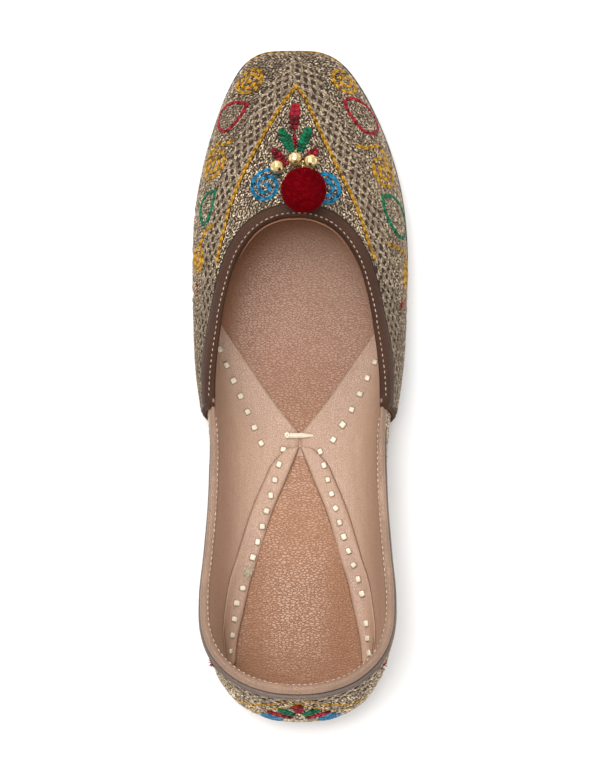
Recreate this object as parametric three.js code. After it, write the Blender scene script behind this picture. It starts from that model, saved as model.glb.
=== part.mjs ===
// A mojari (jutti): a flat slip-on shoe on a straight last, with an embroidered upper, bound edges
// and a pompom. Millimetres, +Z up. The origin is on the floor under the middle of the shoe, the toe
// points along -Y, and +X is the wearer's left. Every wall piece is cut from one function, wallPoint,
// so neighbours always follow each other.
import * as THREE from "three";

// ---- Driving sizes ----
const LENGTH = 258;
const BALL_WIDTH = 83.5;
const HEEL_HEIGHT = 48; // floor to the rim at the back of the heel
const WALL = 2.2; // embroidered cloth and its leather lining, glued together
const GAP = 0.3; // clearance between pieces that touch

const TOE_LEAN = 3; // how far the toe tip swings towards +X off a dead straight last
const HEEL_LEAN = 1.8; // how far the heel swings the other way
const LAP_PROUD = 2.2; // how far the vamp's wing stands out where it overlaps the quarter
const BINDING_WIDTH = 4.6; // folded leather strip on the rim, measured down the wall
const BINDING_PROUD = 0.5; // how far that strip stands out of the wall, on both faces

const SOLE_THICK = 4.5; // under the ball of the foot
const HEEL_BLOCK = 3.5; // extra leather under the heel
const ARCH_RISE = 2.6; // daylight under the waist
const TOE_SPRING = 5; // lift of the sole under the toe tip
const SOLE_EDGE_ROUND = 0.7;
const INSOLE_THICK = 2.6;
const INSOLE_INSET = 2.7; // from the shoe's outline to the footbed's edge, just clear of the wall
const INSOLE_CROWN = 0.8; // soft rise of the footbed along its middle

const POMPOM_RADIUS = 8.4;
const BEAD_RADIUS = 2.6;

// ---- The last: one row for each ray from the sole's edge up to the rim, from toe tip to heel back ----
// along: share of LENGTH from the toe. half: share of half BALL_WIDTH. lift: share of HEEL_HEIGHT.
const RAY_COLUMNS = ["along", "half", "rimAlong", "rimHalf", "rimLift"];
const RAYS = [
  [0.006, 0.0, 0.272, 0.0, 0.896],
  [0.009, 0.265, 0.273, 0.107, 0.896],
  [0.026, 0.445, 0.277, 0.2, 0.895],
  [0.059, 0.59, 0.284, 0.295, 0.893],
  [0.103, 0.718, 0.295, 0.385, 0.888],
  [0.156, 0.832, 0.31, 0.465, 0.88],
  [0.22, 0.92, 0.332, 0.545, 0.868],
  [0.289, 0.956, 0.361, 0.61, 0.85],
  [0.36, 0.948, 0.399, 0.665, 0.828],
  [0.43, 0.905, 0.446, 0.715, 0.8],
  [0.5, 0.842, 0.5, 0.755, 0.772],
  [0.56, 0.782, 0.553, 0.766, 0.755],
  [0.625, 0.732, 0.621, 0.764, 0.75],
  [0.695, 0.712, 0.691, 0.778, 0.77],
  [0.765, 0.724, 0.762, 0.812, 0.815],
  [0.83, 0.745, 0.82, 0.842, 0.87],
  [0.888, 0.71, 0.871, 0.82, 0.92],
  [0.938, 0.63, 0.91, 0.71, 0.96],
  [0.971, 0.475, 0.939, 0.505, 0.985],
  [0.987, 0.25, 0.954, 0.26, 0.998],
  [0.991, 0.0, 0.958, 0.0, 1.0],
];
const LAST_RAY = RAYS.length - 1;
const WING_RAY = 10.9; // the vamp ends here, and the bare quarter starts

// ---- How each wall curves, in mm: it leaves the sole by flare and rise, and reaches the rim by
// reach and drop ----
const WALL_COLUMNS = ["ray", "flare", "rise", "reach", "drop"];
const WALLS = [
  [0, 1.6, 10, 31, 11],
  [3, 1.8, 11, 27, 11],
  [6, 2.2, 14, 17, 9],
  [9, 2.4, 15, 7, 9],
  [12, 2.6, 13, 1.5, 12],
  [15, 4.4, 13, 1.8, 14],
  [18, 6.0, 12, 4.0, 15],
  [20, 6.4, 12, 4.6, 15],
];

// ---- Where each hard or soft ornament sits on the vamp: ray number, and share of the way up to the rim ----
const ORNAMENTS = {
  pompom: { ray: -0.55, up: 0.945, radius: POMPOM_RADIUS },
  bead_left: { ray: 1.0, up: 0.81, radius: BEAD_RADIUS },
  bead_middle: { ray: 0.05, up: 0.785, radius: BEAD_RADIUS },
  bead_right: { ray: -0.78, up: 0.79, radius: BEAD_RADIUS },
};

const COLOURS = {
  outsole: [0x3b302c, 0.7, 0],
  insole: [0xae7f66, 0.45, 0],
  upper: [0x9c8f76, 0.6, 0.2],
  throat_binding: [0x5f4636, 0.45, 0.1],
  topline_binding: [0xb88f78, 0.5, 0],
  pompom: [0x8e0612, 0.95, 0],
  bead: [0xd8a83c, 0.25, 1],
};

// ---- Smooth columns ----
const smoothstep = (s) => s * s * (3 - 2 * s);
const ramp = (from, to, value) => smoothstep(THREE.MathUtils.clamp((value - from) / (to - from), 0, 1));

function catmullRom(a, b, c, d, f) {
  const square = 2 * a - 5 * b + 4 * c - d;
  const cube = 3 * b - a - 3 * c + d;
  return 0.5 * (2 * b + (c - a) * f + square * f * f + cube * f * f * f);
}

// A column of RAYS at any signed ray. The rows go down one side and come back mirrored up the other,
// as a closed ring.
function rayColumn(name, ray) {
  const column = RAY_COLUMNS.indexOf(name);
  const odd = name === "half" || name === "rimHalf";
  const node = (index) => {
    const folded = THREE.MathUtils.euclideanModulo(index, 2 * LAST_RAY);
    const back = folded > LAST_RAY;
    return RAYS[back ? 2 * LAST_RAY - folded : folded][column] * (odd && back ? -1 : 1);
  };
  const low = Math.floor(ray);
  return catmullRom(node(low - 1), node(low), node(low + 1), node(low + 2), ray - low);
}

// A column of WALLS at any signed ray; both sides of the shoe curve alike.
function wallColumn(name, ray) {
  const column = WALL_COLUMNS.indexOf(name);
  const folded = THREE.MathUtils.euclideanModulo(ray, 2 * LAST_RAY);
  const at = Math.min(folded, 2 * LAST_RAY - folded);
  const next = Math.max(1, WALLS.findIndex((row) => row[0] >= at));
  const [low, high] = [WALLS[next - 1], WALLS[next]];
  return THREE.MathUtils.lerp(low[column], high[column], smoothstep((at - low[0]) / (high[0] - low[0])));
}

// ---- Heights along the shoe ----
const yOf = (along) => (along - 0.5) * LENGTH;
const alongOf = (y) => y / LENGTH + 0.5;
const swing = (along) => TOE_LEAN * Math.max(0, 1 - along / 0.3) ** 2 - HEEL_LEAN * along;

// The underside: flat under the ball and the heel, open under the waist, and lifted under the toe.
function soleBottom(y) {
  const along = alongOf(y);
  const spring = TOE_SPRING * THREE.MathUtils.clamp((0.2 - along) / 0.2, 0, 1) ** 2;
  return spring + ARCH_RISE * (ramp(0.5, 0.6, along) - ramp(0.68, 0.71, along));
}

// The top of the sole, which the upper and the insole stand on.
function soleTop(y) {
  const along = alongOf(y);
  const spring = TOE_SPRING * THREE.MathUtils.clamp((0.2 - along) / 0.2, 0, 1) ** 2;
  return SOLE_THICK + spring + HEEL_BLOCK * ramp(0.42, 0.76, along);
}

// ---- The wall ----
function edgePoint(ray, rim) {
  const along = rayColumn(rim ? "rimAlong" : "along", ray);
  const half = rayColumn(rim ? "rimHalf" : "half", ray);
  const y = yOf(along);
  const z = rim ? rayColumn("rimLift", ray) * HEEL_HEIGHT : soleTop(y) + GAP;
  return new THREE.Vector3((half * BALL_WIDTH) / 2 + swing(along), y, z);
}

// The level direction that points out of the shoe, square to its edge.
function outwards(ray, rim) {
  const step = 0.02;
  const run = edgePoint(ray + step, rim).sub(edgePoint(ray - step, rim));
  return new THREE.Vector3(run.y, -run.x, 0).normalize();
}

// A point of the lasted form: ray counts round the shoe and up runs from the sole, 0, to the rim, 1.
function formPoint(ray, up) {
  const foot = edgePoint(ray, false);
  const rim = edgePoint(ray, true);
  const low = foot.clone().addScaledVector(outwards(ray, false), wallColumn("flare", ray));
  low.z += wallColumn("rise", ray);
  const high = rim.clone().addScaledVector(outwards(ray, true), wallColumn("reach", ray));
  high.z -= wallColumn("drop", ray);
  return new THREE.CubicBezierCurve3(foot, low, high, rim).getPoint(up);
}

// The same point moved square to the form by a distance, outwards when it is positive.
function wallPoint(ray, up, distance) {
  const step = 0.01;
  const [below, above] = [Math.max(0, up - step), Math.min(1, up + step)];
  const across = formPoint(ray + step, up).sub(formPoint(ray - step, up));
  const climb = formPoint(ray, above).sub(formPoint(ray, below));
  const normal = across.cross(climb).normalize();
  return formPoint(ray, up).addScaledVector(normal, distance);
}

// How much the outer face is thickened where the vamp's wings lie over the quarter.
function lap(ray) {
  const at = Math.abs(ray);
  return at > WING_RAY ? 0 : LAP_PROUD * ramp(7, 10, at);
}

// The share of the way up at which a ray is a given distance from the rim, measured along the wall.
function upBelowRim(ray, distance) {
  const steps = 60;
  let left = distance;
  let from = formPoint(ray, 1);
  for (let i = 1; i <= steps; i++) {
    const to = formPoint(ray, 1 - i / steps);
    const length = to.distanceTo(from);
    if (length >= left) return 1 - (i - 1 + left / length) / steps;
    left -= length;
    from = to;
  }
  return 0;
}

// ---- Solids from rows of points ----
// A closed mesh, with its faces turned outwards.
function closedGeometry(points, triangles) {
  let volume = 0;
  for (const [a, b, c] of triangles) volume += points[a].dot(points[b].clone().cross(points[c]));
  const index = triangles.flatMap(([a, b, c]) => (volume < 0 ? [a, c, b] : [a, b, c]));
  const geometry = new THREE.BufferGeometry().setFromPoints(points);
  geometry.setIndex(index);
  geometry.computeVertexNormals();
  return geometry;
}

// Skins a row of equal loops. A ring joins its last loop to its first; otherwise each end is closed
// across the wall.
function skinLoops(loops, ring) {
  const size = loops[0].length;
  const points = loops.flat();
  const triangles = [];
  const spans = ring ? loops.length : loops.length - 1;
  for (let i = 0; i < spans; i++) {
    const [here, there] = [i * size, ((i + 1) % loops.length) * size];
    for (let k = 0; k < size; k++) {
      const next = (k + 1) % size;
      triangles.push([here + k, there + k, there + next], [here + k, there + next, here + next]);
    }
  }
  if (!ring) {
    const end = (loops.length - 1) * size;
    for (let k = 0; k < size / 2 - 1; k++) {
      const [a, b, c, d] = [k, k + 1, size - 2 - k, size - 1 - k];
      triangles.push([a, b, c], [a, c, d], [end + a, end + c, end + b], [end + a, end + d, end + c]);
    }
  }
  return closedGeometry(points, triangles);
}

// One loop round the wall's section at a ray: up the outer face, over the top, and down the inner face.
function wallLoop(ray, from, to, steps, outer, inner) {
  const ups = Array.from({ length: steps + 1 }, (_, i) => THREE.MathUtils.lerp(from, to, i / steps));
  const outside = ups.map((up) => wallPoint(ray, up, outer));
  const inside = ups.map((up) => wallPoint(ray, up, -inner)).reverse();
  return [...outside, ...inside];
}

// ---- Pieces ----
const spread = (from, to, count) =>
  Array.from({ length: count }, (_, i) => THREE.MathUtils.lerp(from, to, i / (count - 1)));

// The whole upper, vamp and quarters, as one hollow wall: open at the throat and collar, and open underneath.
function makeUpper() {
  const half = [...spread(0, WING_RAY, 22), ...spread(WING_RAY + 0.05, LAST_RAY, 18)];
  const rays = [...half.slice(1, -1).reverse().map((ray) => -ray), ...half];
  const loops = rays.map((ray) =>
    wallLoop(ray, 0, upBelowRim(ray, BINDING_WIDTH + GAP), 11, lap(ray), WALL),
  );
  return skinLoops(loops, true);
}

// A folded leather strip that finishes the rim between two rays.
function makeBinding(from, to, count) {
  const loops = spread(from, to, count).map((ray) => {
    const outer = lap(ray) + BINDING_PROUD;
    const start = upBelowRim(ray, BINDING_WIDTH);
    const [low, mid, high] = [start, 1 - (1 - start) * 0.3, 1];
    const section = [
      [low, outer],
      [mid, outer],
      [high, outer - BINDING_PROUD - 0.4],
      [high, -WALL + 0.4],
      [mid, -WALL - BINDING_PROUD],
      [low, -WALL - BINDING_PROUD],
    ];
    return section.map(([up, distance]) => wallPoint(ray, up, distance));
  });
  return skinLoops(loops, false);
}

// A flat piece in the shoe's own outline, grown or shrunk by a margin, from strips across the shoe.
function makeSlab(margin, levels) {
  const rays = [...spread(0, 3, 10), ...spread(3.5, 17, 28), ...spread(17.3, LAST_RAY, 10)];
  const points = [];
  const rings = levels.map(({ z, inset }) =>
    [1, -1].map((side) =>
      rays.map((ray) => {
        const edge = edgePoint(side * ray, false);
        edge.addScaledVector(outwards(side * ray, false), margin(ray) - inset);
        edge.z = z(edge.y);
        return points.push(edge) - 1;
      }),
    ),
  );
  const triangles = [];
  const quad = (a, b, c, d) => triangles.push([a, b, c], [a, c, d]);
  const bottom = rings[0];
  const top = rings[rings.length - 1];
  for (let i = 0; i < rays.length - 1; i++) {
    quad(bottom[0][i], bottom[0][i + 1], bottom[1][i + 1], bottom[1][i]);
    quad(top[1][i], top[1][i + 1], top[0][i + 1], top[0][i]);
    for (let level = 0; level < rings.length - 1; level++) {
      const [low, high] = [rings[level], rings[level + 1]];
      quad(low[0][i], high[0][i], high[0][i + 1], low[0][i + 1]);
      quad(low[1][i + 1], high[1][i + 1], high[1][i], low[1][i]);
    }
  }
  return closedGeometry(points, triangles);
}

// The leather outsole, with its heel block, arch and toe spring in one piece.
function makeOutsole() {
  const margin = (ray) => 1.4 + 0.9 * ramp(6, 10, ray) * (1 - ramp(10, 12, ray));
  return makeSlab(margin, [
    { z: soleBottom, inset: SOLE_EDGE_ROUND },
    { z: (y) => soleBottom(y) + SOLE_EDGE_ROUND, inset: 0 },
    { z: (y) => soleTop(y) - SOLE_EDGE_ROUND, inset: 0 },
    { z: soleTop, inset: SOLE_EDGE_ROUND },
  ]);
}

// The leather footbed, inside the foot of the wall.
function makeInsole() {
  const margin = () => -INSOLE_INSET;
  const base = (y) => soleTop(y) + GAP;
  return makeSlab(margin, [
    { z: base, inset: 0.4 },
    { z: (y) => base(y) + INSOLE_THICK - 0.8, inset: 0 },
    { z: (y) => base(y) + INSOLE_THICK, inset: 0.8 },
    { z: (y) => base(y) + INSOLE_THICK + INSOLE_CROWN, inset: 10 },
  ]);
}

// A ball that rests on the vamp.
function makeBall({ ray, up, radius }, widthSegments, heightSegments) {
  const geometry = new THREE.SphereGeometry(radius, widthSegments, heightSegments);
  const centre = wallPoint(ray, up, BINDING_PROUD + radius + GAP);
  return { geometry, centre };
}

function addPiece(group, name, geometry, [colour, roughness, metalness]) {
  const material = new THREE.MeshStandardMaterial({ color: colour, roughness, metalness });
  const mesh = new THREE.Mesh(geometry, material);
  mesh.name = name;
  group.add(mesh);
  return mesh;
}

const shoe = new THREE.Group();
addPiece(shoe, "outsole", makeOutsole(), COLOURS.outsole);
addPiece(shoe, "insole", makeInsole(), COLOURS.insole);
addPiece(shoe, "upper", makeUpper(), COLOURS.upper);
addPiece(shoe, "throat_binding", makeBinding(-WING_RAY, WING_RAY, 45), COLOURS.throat_binding);
const collar = makeBinding(WING_RAY + 0.1, 2 * LAST_RAY - WING_RAY - 0.1, 37);
addPiece(shoe, "topline_binding", collar, COLOURS.topline_binding);
for (const [name, place] of Object.entries(ORNAMENTS)) {
  const soft = name === "pompom";
  const { geometry, centre } = makeBall(place, soft ? 20 : 10, soft ? 12 : 7);
  const ball = addPiece(shoe, name, geometry, soft ? COLOURS.pompom : COLOURS.bead);
  ball.rotation.x = Math.PI / 2;
  ball.position.copy(centre);
}

// Stand the shoe with the middle of its length and width over the origin.
const middle = new THREE.Box3().setFromObject(shoe, true).getCenter(new THREE.Vector3());
shoe.position.set(-middle.x, -middle.y, 0);

export default shoe;
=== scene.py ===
"""A mojari shoe: embroidered vamp and heel, leather bindings, crossed lining wings, pompom and beads.

Laid out as a Blender add-on. Lengths in the tables are in millimetres, in the shoe's own frame: the toe
points along -Y, +X is the wearer's left, and a ray counts round the shoe from the toe tip (0) over the
wearer's left side to the heel (20), with negative rays on the other side.
"""

import math

import bmesh
import bpy
import numpy as np
from bpy.props import FloatProperty, FloatVectorProperty, PointerProperty
from mathutils import Matrix, Vector
from mathutils.bvhtree import BVHTree


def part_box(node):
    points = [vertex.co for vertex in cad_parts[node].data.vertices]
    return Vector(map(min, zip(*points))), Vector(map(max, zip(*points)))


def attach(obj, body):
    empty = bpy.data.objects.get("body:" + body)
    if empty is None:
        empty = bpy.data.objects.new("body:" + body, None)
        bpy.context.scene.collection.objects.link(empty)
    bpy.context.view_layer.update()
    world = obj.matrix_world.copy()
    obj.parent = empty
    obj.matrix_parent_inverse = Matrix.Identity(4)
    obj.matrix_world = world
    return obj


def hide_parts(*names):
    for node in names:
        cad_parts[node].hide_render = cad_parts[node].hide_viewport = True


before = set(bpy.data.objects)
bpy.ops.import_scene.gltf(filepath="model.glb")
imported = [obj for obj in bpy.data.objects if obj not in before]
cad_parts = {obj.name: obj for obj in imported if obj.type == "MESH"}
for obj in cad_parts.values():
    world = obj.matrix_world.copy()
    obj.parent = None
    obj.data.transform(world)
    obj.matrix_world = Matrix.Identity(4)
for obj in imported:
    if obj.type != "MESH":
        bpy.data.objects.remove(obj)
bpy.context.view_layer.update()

bl_info = {
    "name": "Mojari Shoe",
    "version": (1, 0, 0),
    "blender": (4, 5, 0),
    "location": "View3D > Sidebar > Mojari",
    "description": "Builds the cloth, leather, thread, beads and pompom of a mojari round its last",
    "category": "Add Mesh",
}

MM = 0.001
SIDES = (1, -1)
HANDS = ((1, "left"), (-1, "right"))
UP = Vector((0, 0, 1))
FINE = 1e-6  # metres, under which two vertices are one
CLOTH_SLOT, LINING_SLOT, BINDING_SLOT = "embroidered_cloth", "lining_leather", "binding_leather"

# ---- The last, in the same numbers as the solids ----
LENGTH, BALL_WIDTH, HEEL_HEIGHT = 258.0, 83.5, 48.0
WALL, GAP = 2.2, 0.3
TOE_LEAN, HEEL_LEAN = 3.0, 1.8
LAP_PROUD = 2.2
BINDING_WIDTH = 4.6
SOLE_THICK, HEEL_BLOCK, ARCH_RISE, TOE_SPRING = 4.5, 3.5, 2.6, 5.0
INSOLE_THICK, INSOLE_INSET = 2.6, 2.7
WING_RAY = 10.9
RAY_COLUMNS = ("along", "half", "rim_along", "rim_half", "rim_lift")
RAYS = np.array((
    (0.006, 0.0, 0.272, 0.0, 0.896), (0.009, 0.265, 0.273, 0.107, 0.896),
    (0.026, 0.445, 0.277, 0.2, 0.895), (0.059, 0.59, 0.284, 0.295, 0.893),
    (0.103, 0.718, 0.295, 0.385, 0.888), (0.156, 0.832, 0.31, 0.465, 0.88),
    (0.22, 0.92, 0.332, 0.545, 0.868), (0.289, 0.956, 0.361, 0.61, 0.85),
    (0.36, 0.948, 0.399, 0.665, 0.828), (0.43, 0.905, 0.446, 0.715, 0.8),
    (0.5, 0.842, 0.5, 0.755, 0.772), (0.56, 0.782, 0.553, 0.766, 0.755),
    (0.625, 0.732, 0.621, 0.764, 0.75), (0.695, 0.712, 0.691, 0.778, 0.77),
    (0.765, 0.724, 0.762, 0.812, 0.815), (0.83, 0.745, 0.82, 0.842, 0.87),
    (0.888, 0.71, 0.871, 0.82, 0.92), (0.938, 0.63, 0.91, 0.71, 0.96),
    (0.971, 0.475, 0.939, 0.505, 0.985), (0.987, 0.25, 0.954, 0.26, 0.998),
    (0.991, 0.0, 0.958, 0.0, 1.0),
))
LAST_RAY = len(RAYS) - 1
ROUND = 2 * LAST_RAY  # rays once round the shoe
COLLAR_START = 11.4  # ray where the collar's own work begins, behind the wing
CLOTH_TOP = 0.985  # share of the way up the wall where the cloth ends, under the binding
WALL_COLUMNS = ("ray", "flare", "rise", "reach", "drop")
WALLS = np.array((
    (0, 1.6, 10, 31, 11), (3, 1.8, 11, 27, 11), (6, 2.2, 14, 17, 9), (9, 2.4, 15, 7, 9),
    (12, 2.6, 13, 1.5, 12), (15, 4.4, 13, 1.8, 14), (18, 6.0, 12, 4.0, 15), (20, 6.4, 12, 4.6, 15),
))


def ease(share):
    return share * share * (3 - 2 * share)


def blend(a, b, c, d, f):
    """The Catmull-Rom curve from b to c, a share f of the way."""
    return 0.5 * (2 * b + (c - a) * f + (2 * a - 5 * b + 4 * c - d) * f**2 + (3 * b - a - 3 * c + d) * f**3)


def ramp(start, stop, value):
    return ease(np.clip((value - start) / (stop - start), 0, 1))


def ray_column(name, ray):
    column = RAYS[:, RAY_COLUMNS.index(name)]
    side = -1 if name in ("half", "rim_half") else 1
    ring = np.concatenate([column, side * column[-2:0:-1]])
    low = np.floor(ray).astype(int)
    return blend(*(ring[(low + step) % len(ring)] for step in (-1, 0, 1, 2)), ray - low)


def wall_column(name, ray):
    turned = np.mod(ray, ROUND)
    at = np.minimum(turned, ROUND - turned)
    row = np.clip(np.searchsorted(WALLS[:, 0], at), 1, len(WALLS) - 1)
    low, high = WALLS[row - 1], WALLS[row]
    share = ease((at - low[..., 0]) / (high[..., 0] - low[..., 0]))
    column = WALL_COLUMNS.index(name)
    return low[..., column] + (high[..., column] - low[..., column]) * share


def swing(along):
    return TOE_LEAN * np.clip(1 - along / 0.3, 0, None) ** 2 - HEEL_LEAN * along


def spring(along):
    return TOE_SPRING * np.clip((0.2 - along) / 0.2, 0, 1) ** 2


def sole_bottom(y):
    along = y / LENGTH + 0.5
    return spring(along) + ARCH_RISE * (ramp(0.5, 0.6, along) - ramp(0.68, 0.71, along))


def sole_top(y):
    along = y / LENGTH + 0.5
    return SOLE_THICK + spring(along) + HEEL_BLOCK * ramp(0.42, 0.76, along)


def edge_point(ray, rim=False):
    along = ray_column("rim_along" if rim else "along", ray)
    half = ray_column("rim_half" if rim else "half", ray)
    y = (along - 0.5) * LENGTH
    z = ray_column("rim_lift", ray) * HEEL_HEIGHT if rim else sole_top(y) + GAP
    return np.stack([half * BALL_WIDTH / 2 + swing(along), y, z], -1)


def unit(vectors):
    return vectors / np.linalg.norm(vectors, axis=-1, keepdims=True)


def outwards(ray, rim=False):
    run = edge_point(ray + 0.02, rim) - edge_point(ray - 0.02, rim)
    return unit(np.stack([run[..., 1], -run[..., 0], 0 * ray], -1))


def form_point(ray, up):
    foot, rim = edge_point(ray), edge_point(ray, True)
    low = foot + outwards(ray) * wall_column("flare", ray)[..., None]
    low[..., 2] += wall_column("rise", ray)
    high = rim + outwards(ray, True) * wall_column("reach", ray)[..., None]
    high[..., 2] -= wall_column("drop", ray)
    t = up[..., None]
    return foot * (1 - t) ** 3 + 3 * low * t * (1 - t) ** 2 + 3 * high * t**2 * (1 - t) + rim * t**3


def wall_normal(ray, up):
    step = 0.01
    across = form_point(ray + step, up) - form_point(ray - step, up)
    climb = form_point(ray, np.minimum(up + step, 1)) - form_point(ray, np.maximum(up - step, 0))
    return unit(np.cross(across, climb))


def wall_point(ray, up, distance):
    ray, up = np.broadcast_arrays(np.asarray(ray, float), np.asarray(up, float))
    return form_point(ray, up) + wall_normal(ray, up) * np.asarray(distance)[..., None]


def lap(ray):
    at = np.abs(ray)
    return np.where(at > WING_RAY, 0.0, LAP_PROUD * ramp(7, 10, at))


# ---- From the last to the frame ----
def outline(ray, margin):
    """Points of the shoe's outline on the sole, moved outwards by a margin."""
    return edge_point(ray) + outwards(ray) * np.asarray(margin)[..., None]


def sole_margin(ray):
    at = np.abs(ray)
    return 1.4 + 0.9 * ramp(6, 10, at) * (1 - ramp(10, 12, at))


def frame_shift():
    """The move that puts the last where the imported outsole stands."""
    rays = np.linspace(-LAST_RAY, LAST_RAY, 1601)
    edge = outline(rays, sole_margin(rays))
    low, high = (np.array(corner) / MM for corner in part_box("outsole"))
    shift = (low + high) / 2 - (edge.min(0) + edge.max(0)) / 2
    return np.array([shift[0], shift[1], 0.0])


SHIFT = frame_shift()


def to_frame(points):
    return (np.asarray(points) + SHIFT) * MM


def to_last(points):
    return np.asarray(points) / MM - SHIFT


# ---- Soft creases where the vamp bends at the ball, and buckles beside the toe ----
# Each is a ray, a share of the way up, a turn in degrees, and its length, width and depth in mm.
CREASES = (
    (4.4, 0.22, 62, 9, 1.5, 0.55), (6.3, 0.30, 70, 8, 1.3, 0.45), (8.1, 0.28, 75, 7, 1.4, 0.5),
    (-4.9, 0.20, 118, 8, 1.5, 0.5), (-6.9, 0.27, 108, 9, 1.4, 0.5), (-8.6, 0.30, 100, 7, 1.2, 0.4),
    (2.3, 0.33, 40, 6, 1.1, 0.4), (13.2, 0.45, 80, 9, 1.8, 0.45), (-13.9, 0.42, 100, 9, 1.8, 0.45),
    (16.9, 0.5, 84, 8, 1.6, 0.35),
)


def creases(points):
    """How far the cloth moves out, in mm: a soft trough along each crease, with a low ridge beside it."""
    moved = np.zeros(points.shape[:-1])
    for ray, up, turn, length, width, depth in CREASES:
        ray, up = np.array([float(ray)]), np.array([up])
        middle = form_point(ray, up)[0]
        out = wall_normal(ray, up)[0]
        level = unit(np.cross((0, 0, 1), out))
        rise = np.cross(out, level)
        along_axis = level * math.cos(math.radians(turn)) + rise * math.sin(math.radians(turn))
        across_axis = np.cross(out, along_axis)
        gap = points - middle
        along, across = gap @ along_axis / length, gap @ across_axis / width
        moved -= depth * np.exp(-(along**2)) * (1 - 0.9 * across**2) * np.exp(-(across**2) / 1.6)
    return moved


CLOTH_SINK = 0.35  # the cloth lies this far inside the wall's outer face, to leave room for the stitches


def cloth_point(ray, up, rise=0.0):
    """A point on the embroidered cloth, or above it by rise."""
    ray, up = np.broadcast_arrays(np.asarray(ray, float), np.asarray(up, float))
    bare = form_point(ray, up)
    return bare + wall_normal(ray, up) * (lap(ray) - CLOTH_SINK + creases(bare) + rise)[..., None]


def lengths(curves):
    """Distances along rows of points, one row for each curve."""
    steps = np.linalg.norm(np.diff(curves, axis=-2), axis=-1)
    return np.concatenate([np.zeros(steps.shape[:-1] + (1,)), np.cumsum(steps, axis=-1)], axis=-1)


# For each ray, the share of the way up at each height, in mm along the wall from the sole.
TABLE_RAYS = np.linspace(-LAST_RAY, LAST_RAY, 801)
TABLE_STEP = 0.5
TABLE_HEIGHTS = np.arange(0, 84, TABLE_STEP)


def climb_table():
    shares = np.linspace(0, 1, 121)
    travel = lengths(form_point(*np.broadcast_arrays(TABLE_RAYS[:, None], shares[None, :])))
    return np.array([np.interp(TABLE_HEIGHTS, row, shares) for row in travel]), travel[:, -1]


CLIMB, WALL_LENGTHS = climb_table()


def turned(ray):
    """The same ray, counted between the two sides of the heel."""
    return (np.asarray(ray, float) + LAST_RAY) % ROUND - LAST_RAY


def wall_length(ray):
    return np.interp(turned(ray), TABLE_RAYS, WALL_LENGTHS)


def up_at(ray, height):
    """The share of the way up of a height, in mm, above the sole."""
    ray, height = np.broadcast_arrays(turned(ray), np.asarray(height, float))
    column = np.clip((ray + LAST_RAY) / (TABLE_RAYS[1] - TABLE_RAYS[0]), 0, len(TABLE_RAYS) - 1.001)
    row = np.clip(height / TABLE_STEP, 0, len(TABLE_HEIGHTS) - 1.001)
    i, j = column.astype(int), row.astype(int)
    f, g = column - i, row - j
    low = CLIMB[i, j] * (1 - g) + CLIMB[i, j + 1] * g
    high = CLIMB[i + 1, j] * (1 - g) + CLIMB[i + 1, j + 1] * g
    return low * (1 - f) + high * f


# ---- Node helpers ----
def node(tree, kind, inputs=None, **settings):
    """Adds a node. An input value is a number, a colour or another node's output."""
    made = tree.nodes.new(kind)
    for key, value in settings.items():
        setattr(made, key, value)
    for key, value in (inputs or {}).items():
        if isinstance(value, bpy.types.NodeSocket):
            tree.links.new(value, made.inputs[key])
        else:
            made.inputs[key].default_value = value
    return made


def mixed(tree, share, first, second):
    """The output of a colour mix."""
    return node(tree, "ShaderNodeMix", {0: share, 6: first, 7: second}, data_type="RGBA").outputs[2]


def maths(tree, operation, first, second=0.0, clamp=False):
    made = node(tree, "ShaderNodeMath", {0: first, 1: second}, operation=operation, use_clamp=clamp)
    return made.outputs[0]


def spread_to(tree, value, low, high, to_low=0.0, to_high=1.0):
    sockets = {0: value, 1: low, 2: high, 3: to_low, 4: to_high}
    return node(tree, "ShaderNodeMapRange", sockets, interpolation_type="SMOOTHSTEP").outputs[0]


def noise(tree, vector, scale, detail, roughness=0.5):
    sockets = {"Vector": vector, "Scale": scale, "Detail": detail, "Roughness": roughness}
    return node(tree, "ShaderNodeTexNoise", sockets).outputs[0]


def raised(tree, surface, height, strength, distance):
    """Bumps a surface by a height; the distance is in mm."""
    sockets = {"Height": height, "Strength": strength, "Distance": distance * MM}
    tree.links.new(node(tree, "ShaderNodeBump", sockets).outputs[0], surface.inputs["Normal"])


def grouped(tree, name, build, vector):
    """A shared effect, made the first time that it is called for, with its vector linked."""
    made = node(tree, "ShaderNodeGroup", node_tree=bpy.data.node_groups.get(name) or build())
    tree.links.new(vector, made.inputs["Vector"])
    return made


def new_group(name, inputs, outputs):
    """An empty shader node group with named inputs and outputs."""
    tree = bpy.data.node_groups.new(name, "ShaderNodeTree")
    for label, kind, default in inputs:
        socket = tree.interface.new_socket(label, in_out="INPUT", socket_type=kind)
        if default is not None:
            socket.default_value = default
    for label, kind in outputs:
        tree.interface.new_socket(label, in_out="OUTPUT", socket_type=kind)
    return tree, tree.nodes.new("NodeGroupInput").outputs, tree.nodes.new("NodeGroupOutput").inputs


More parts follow.
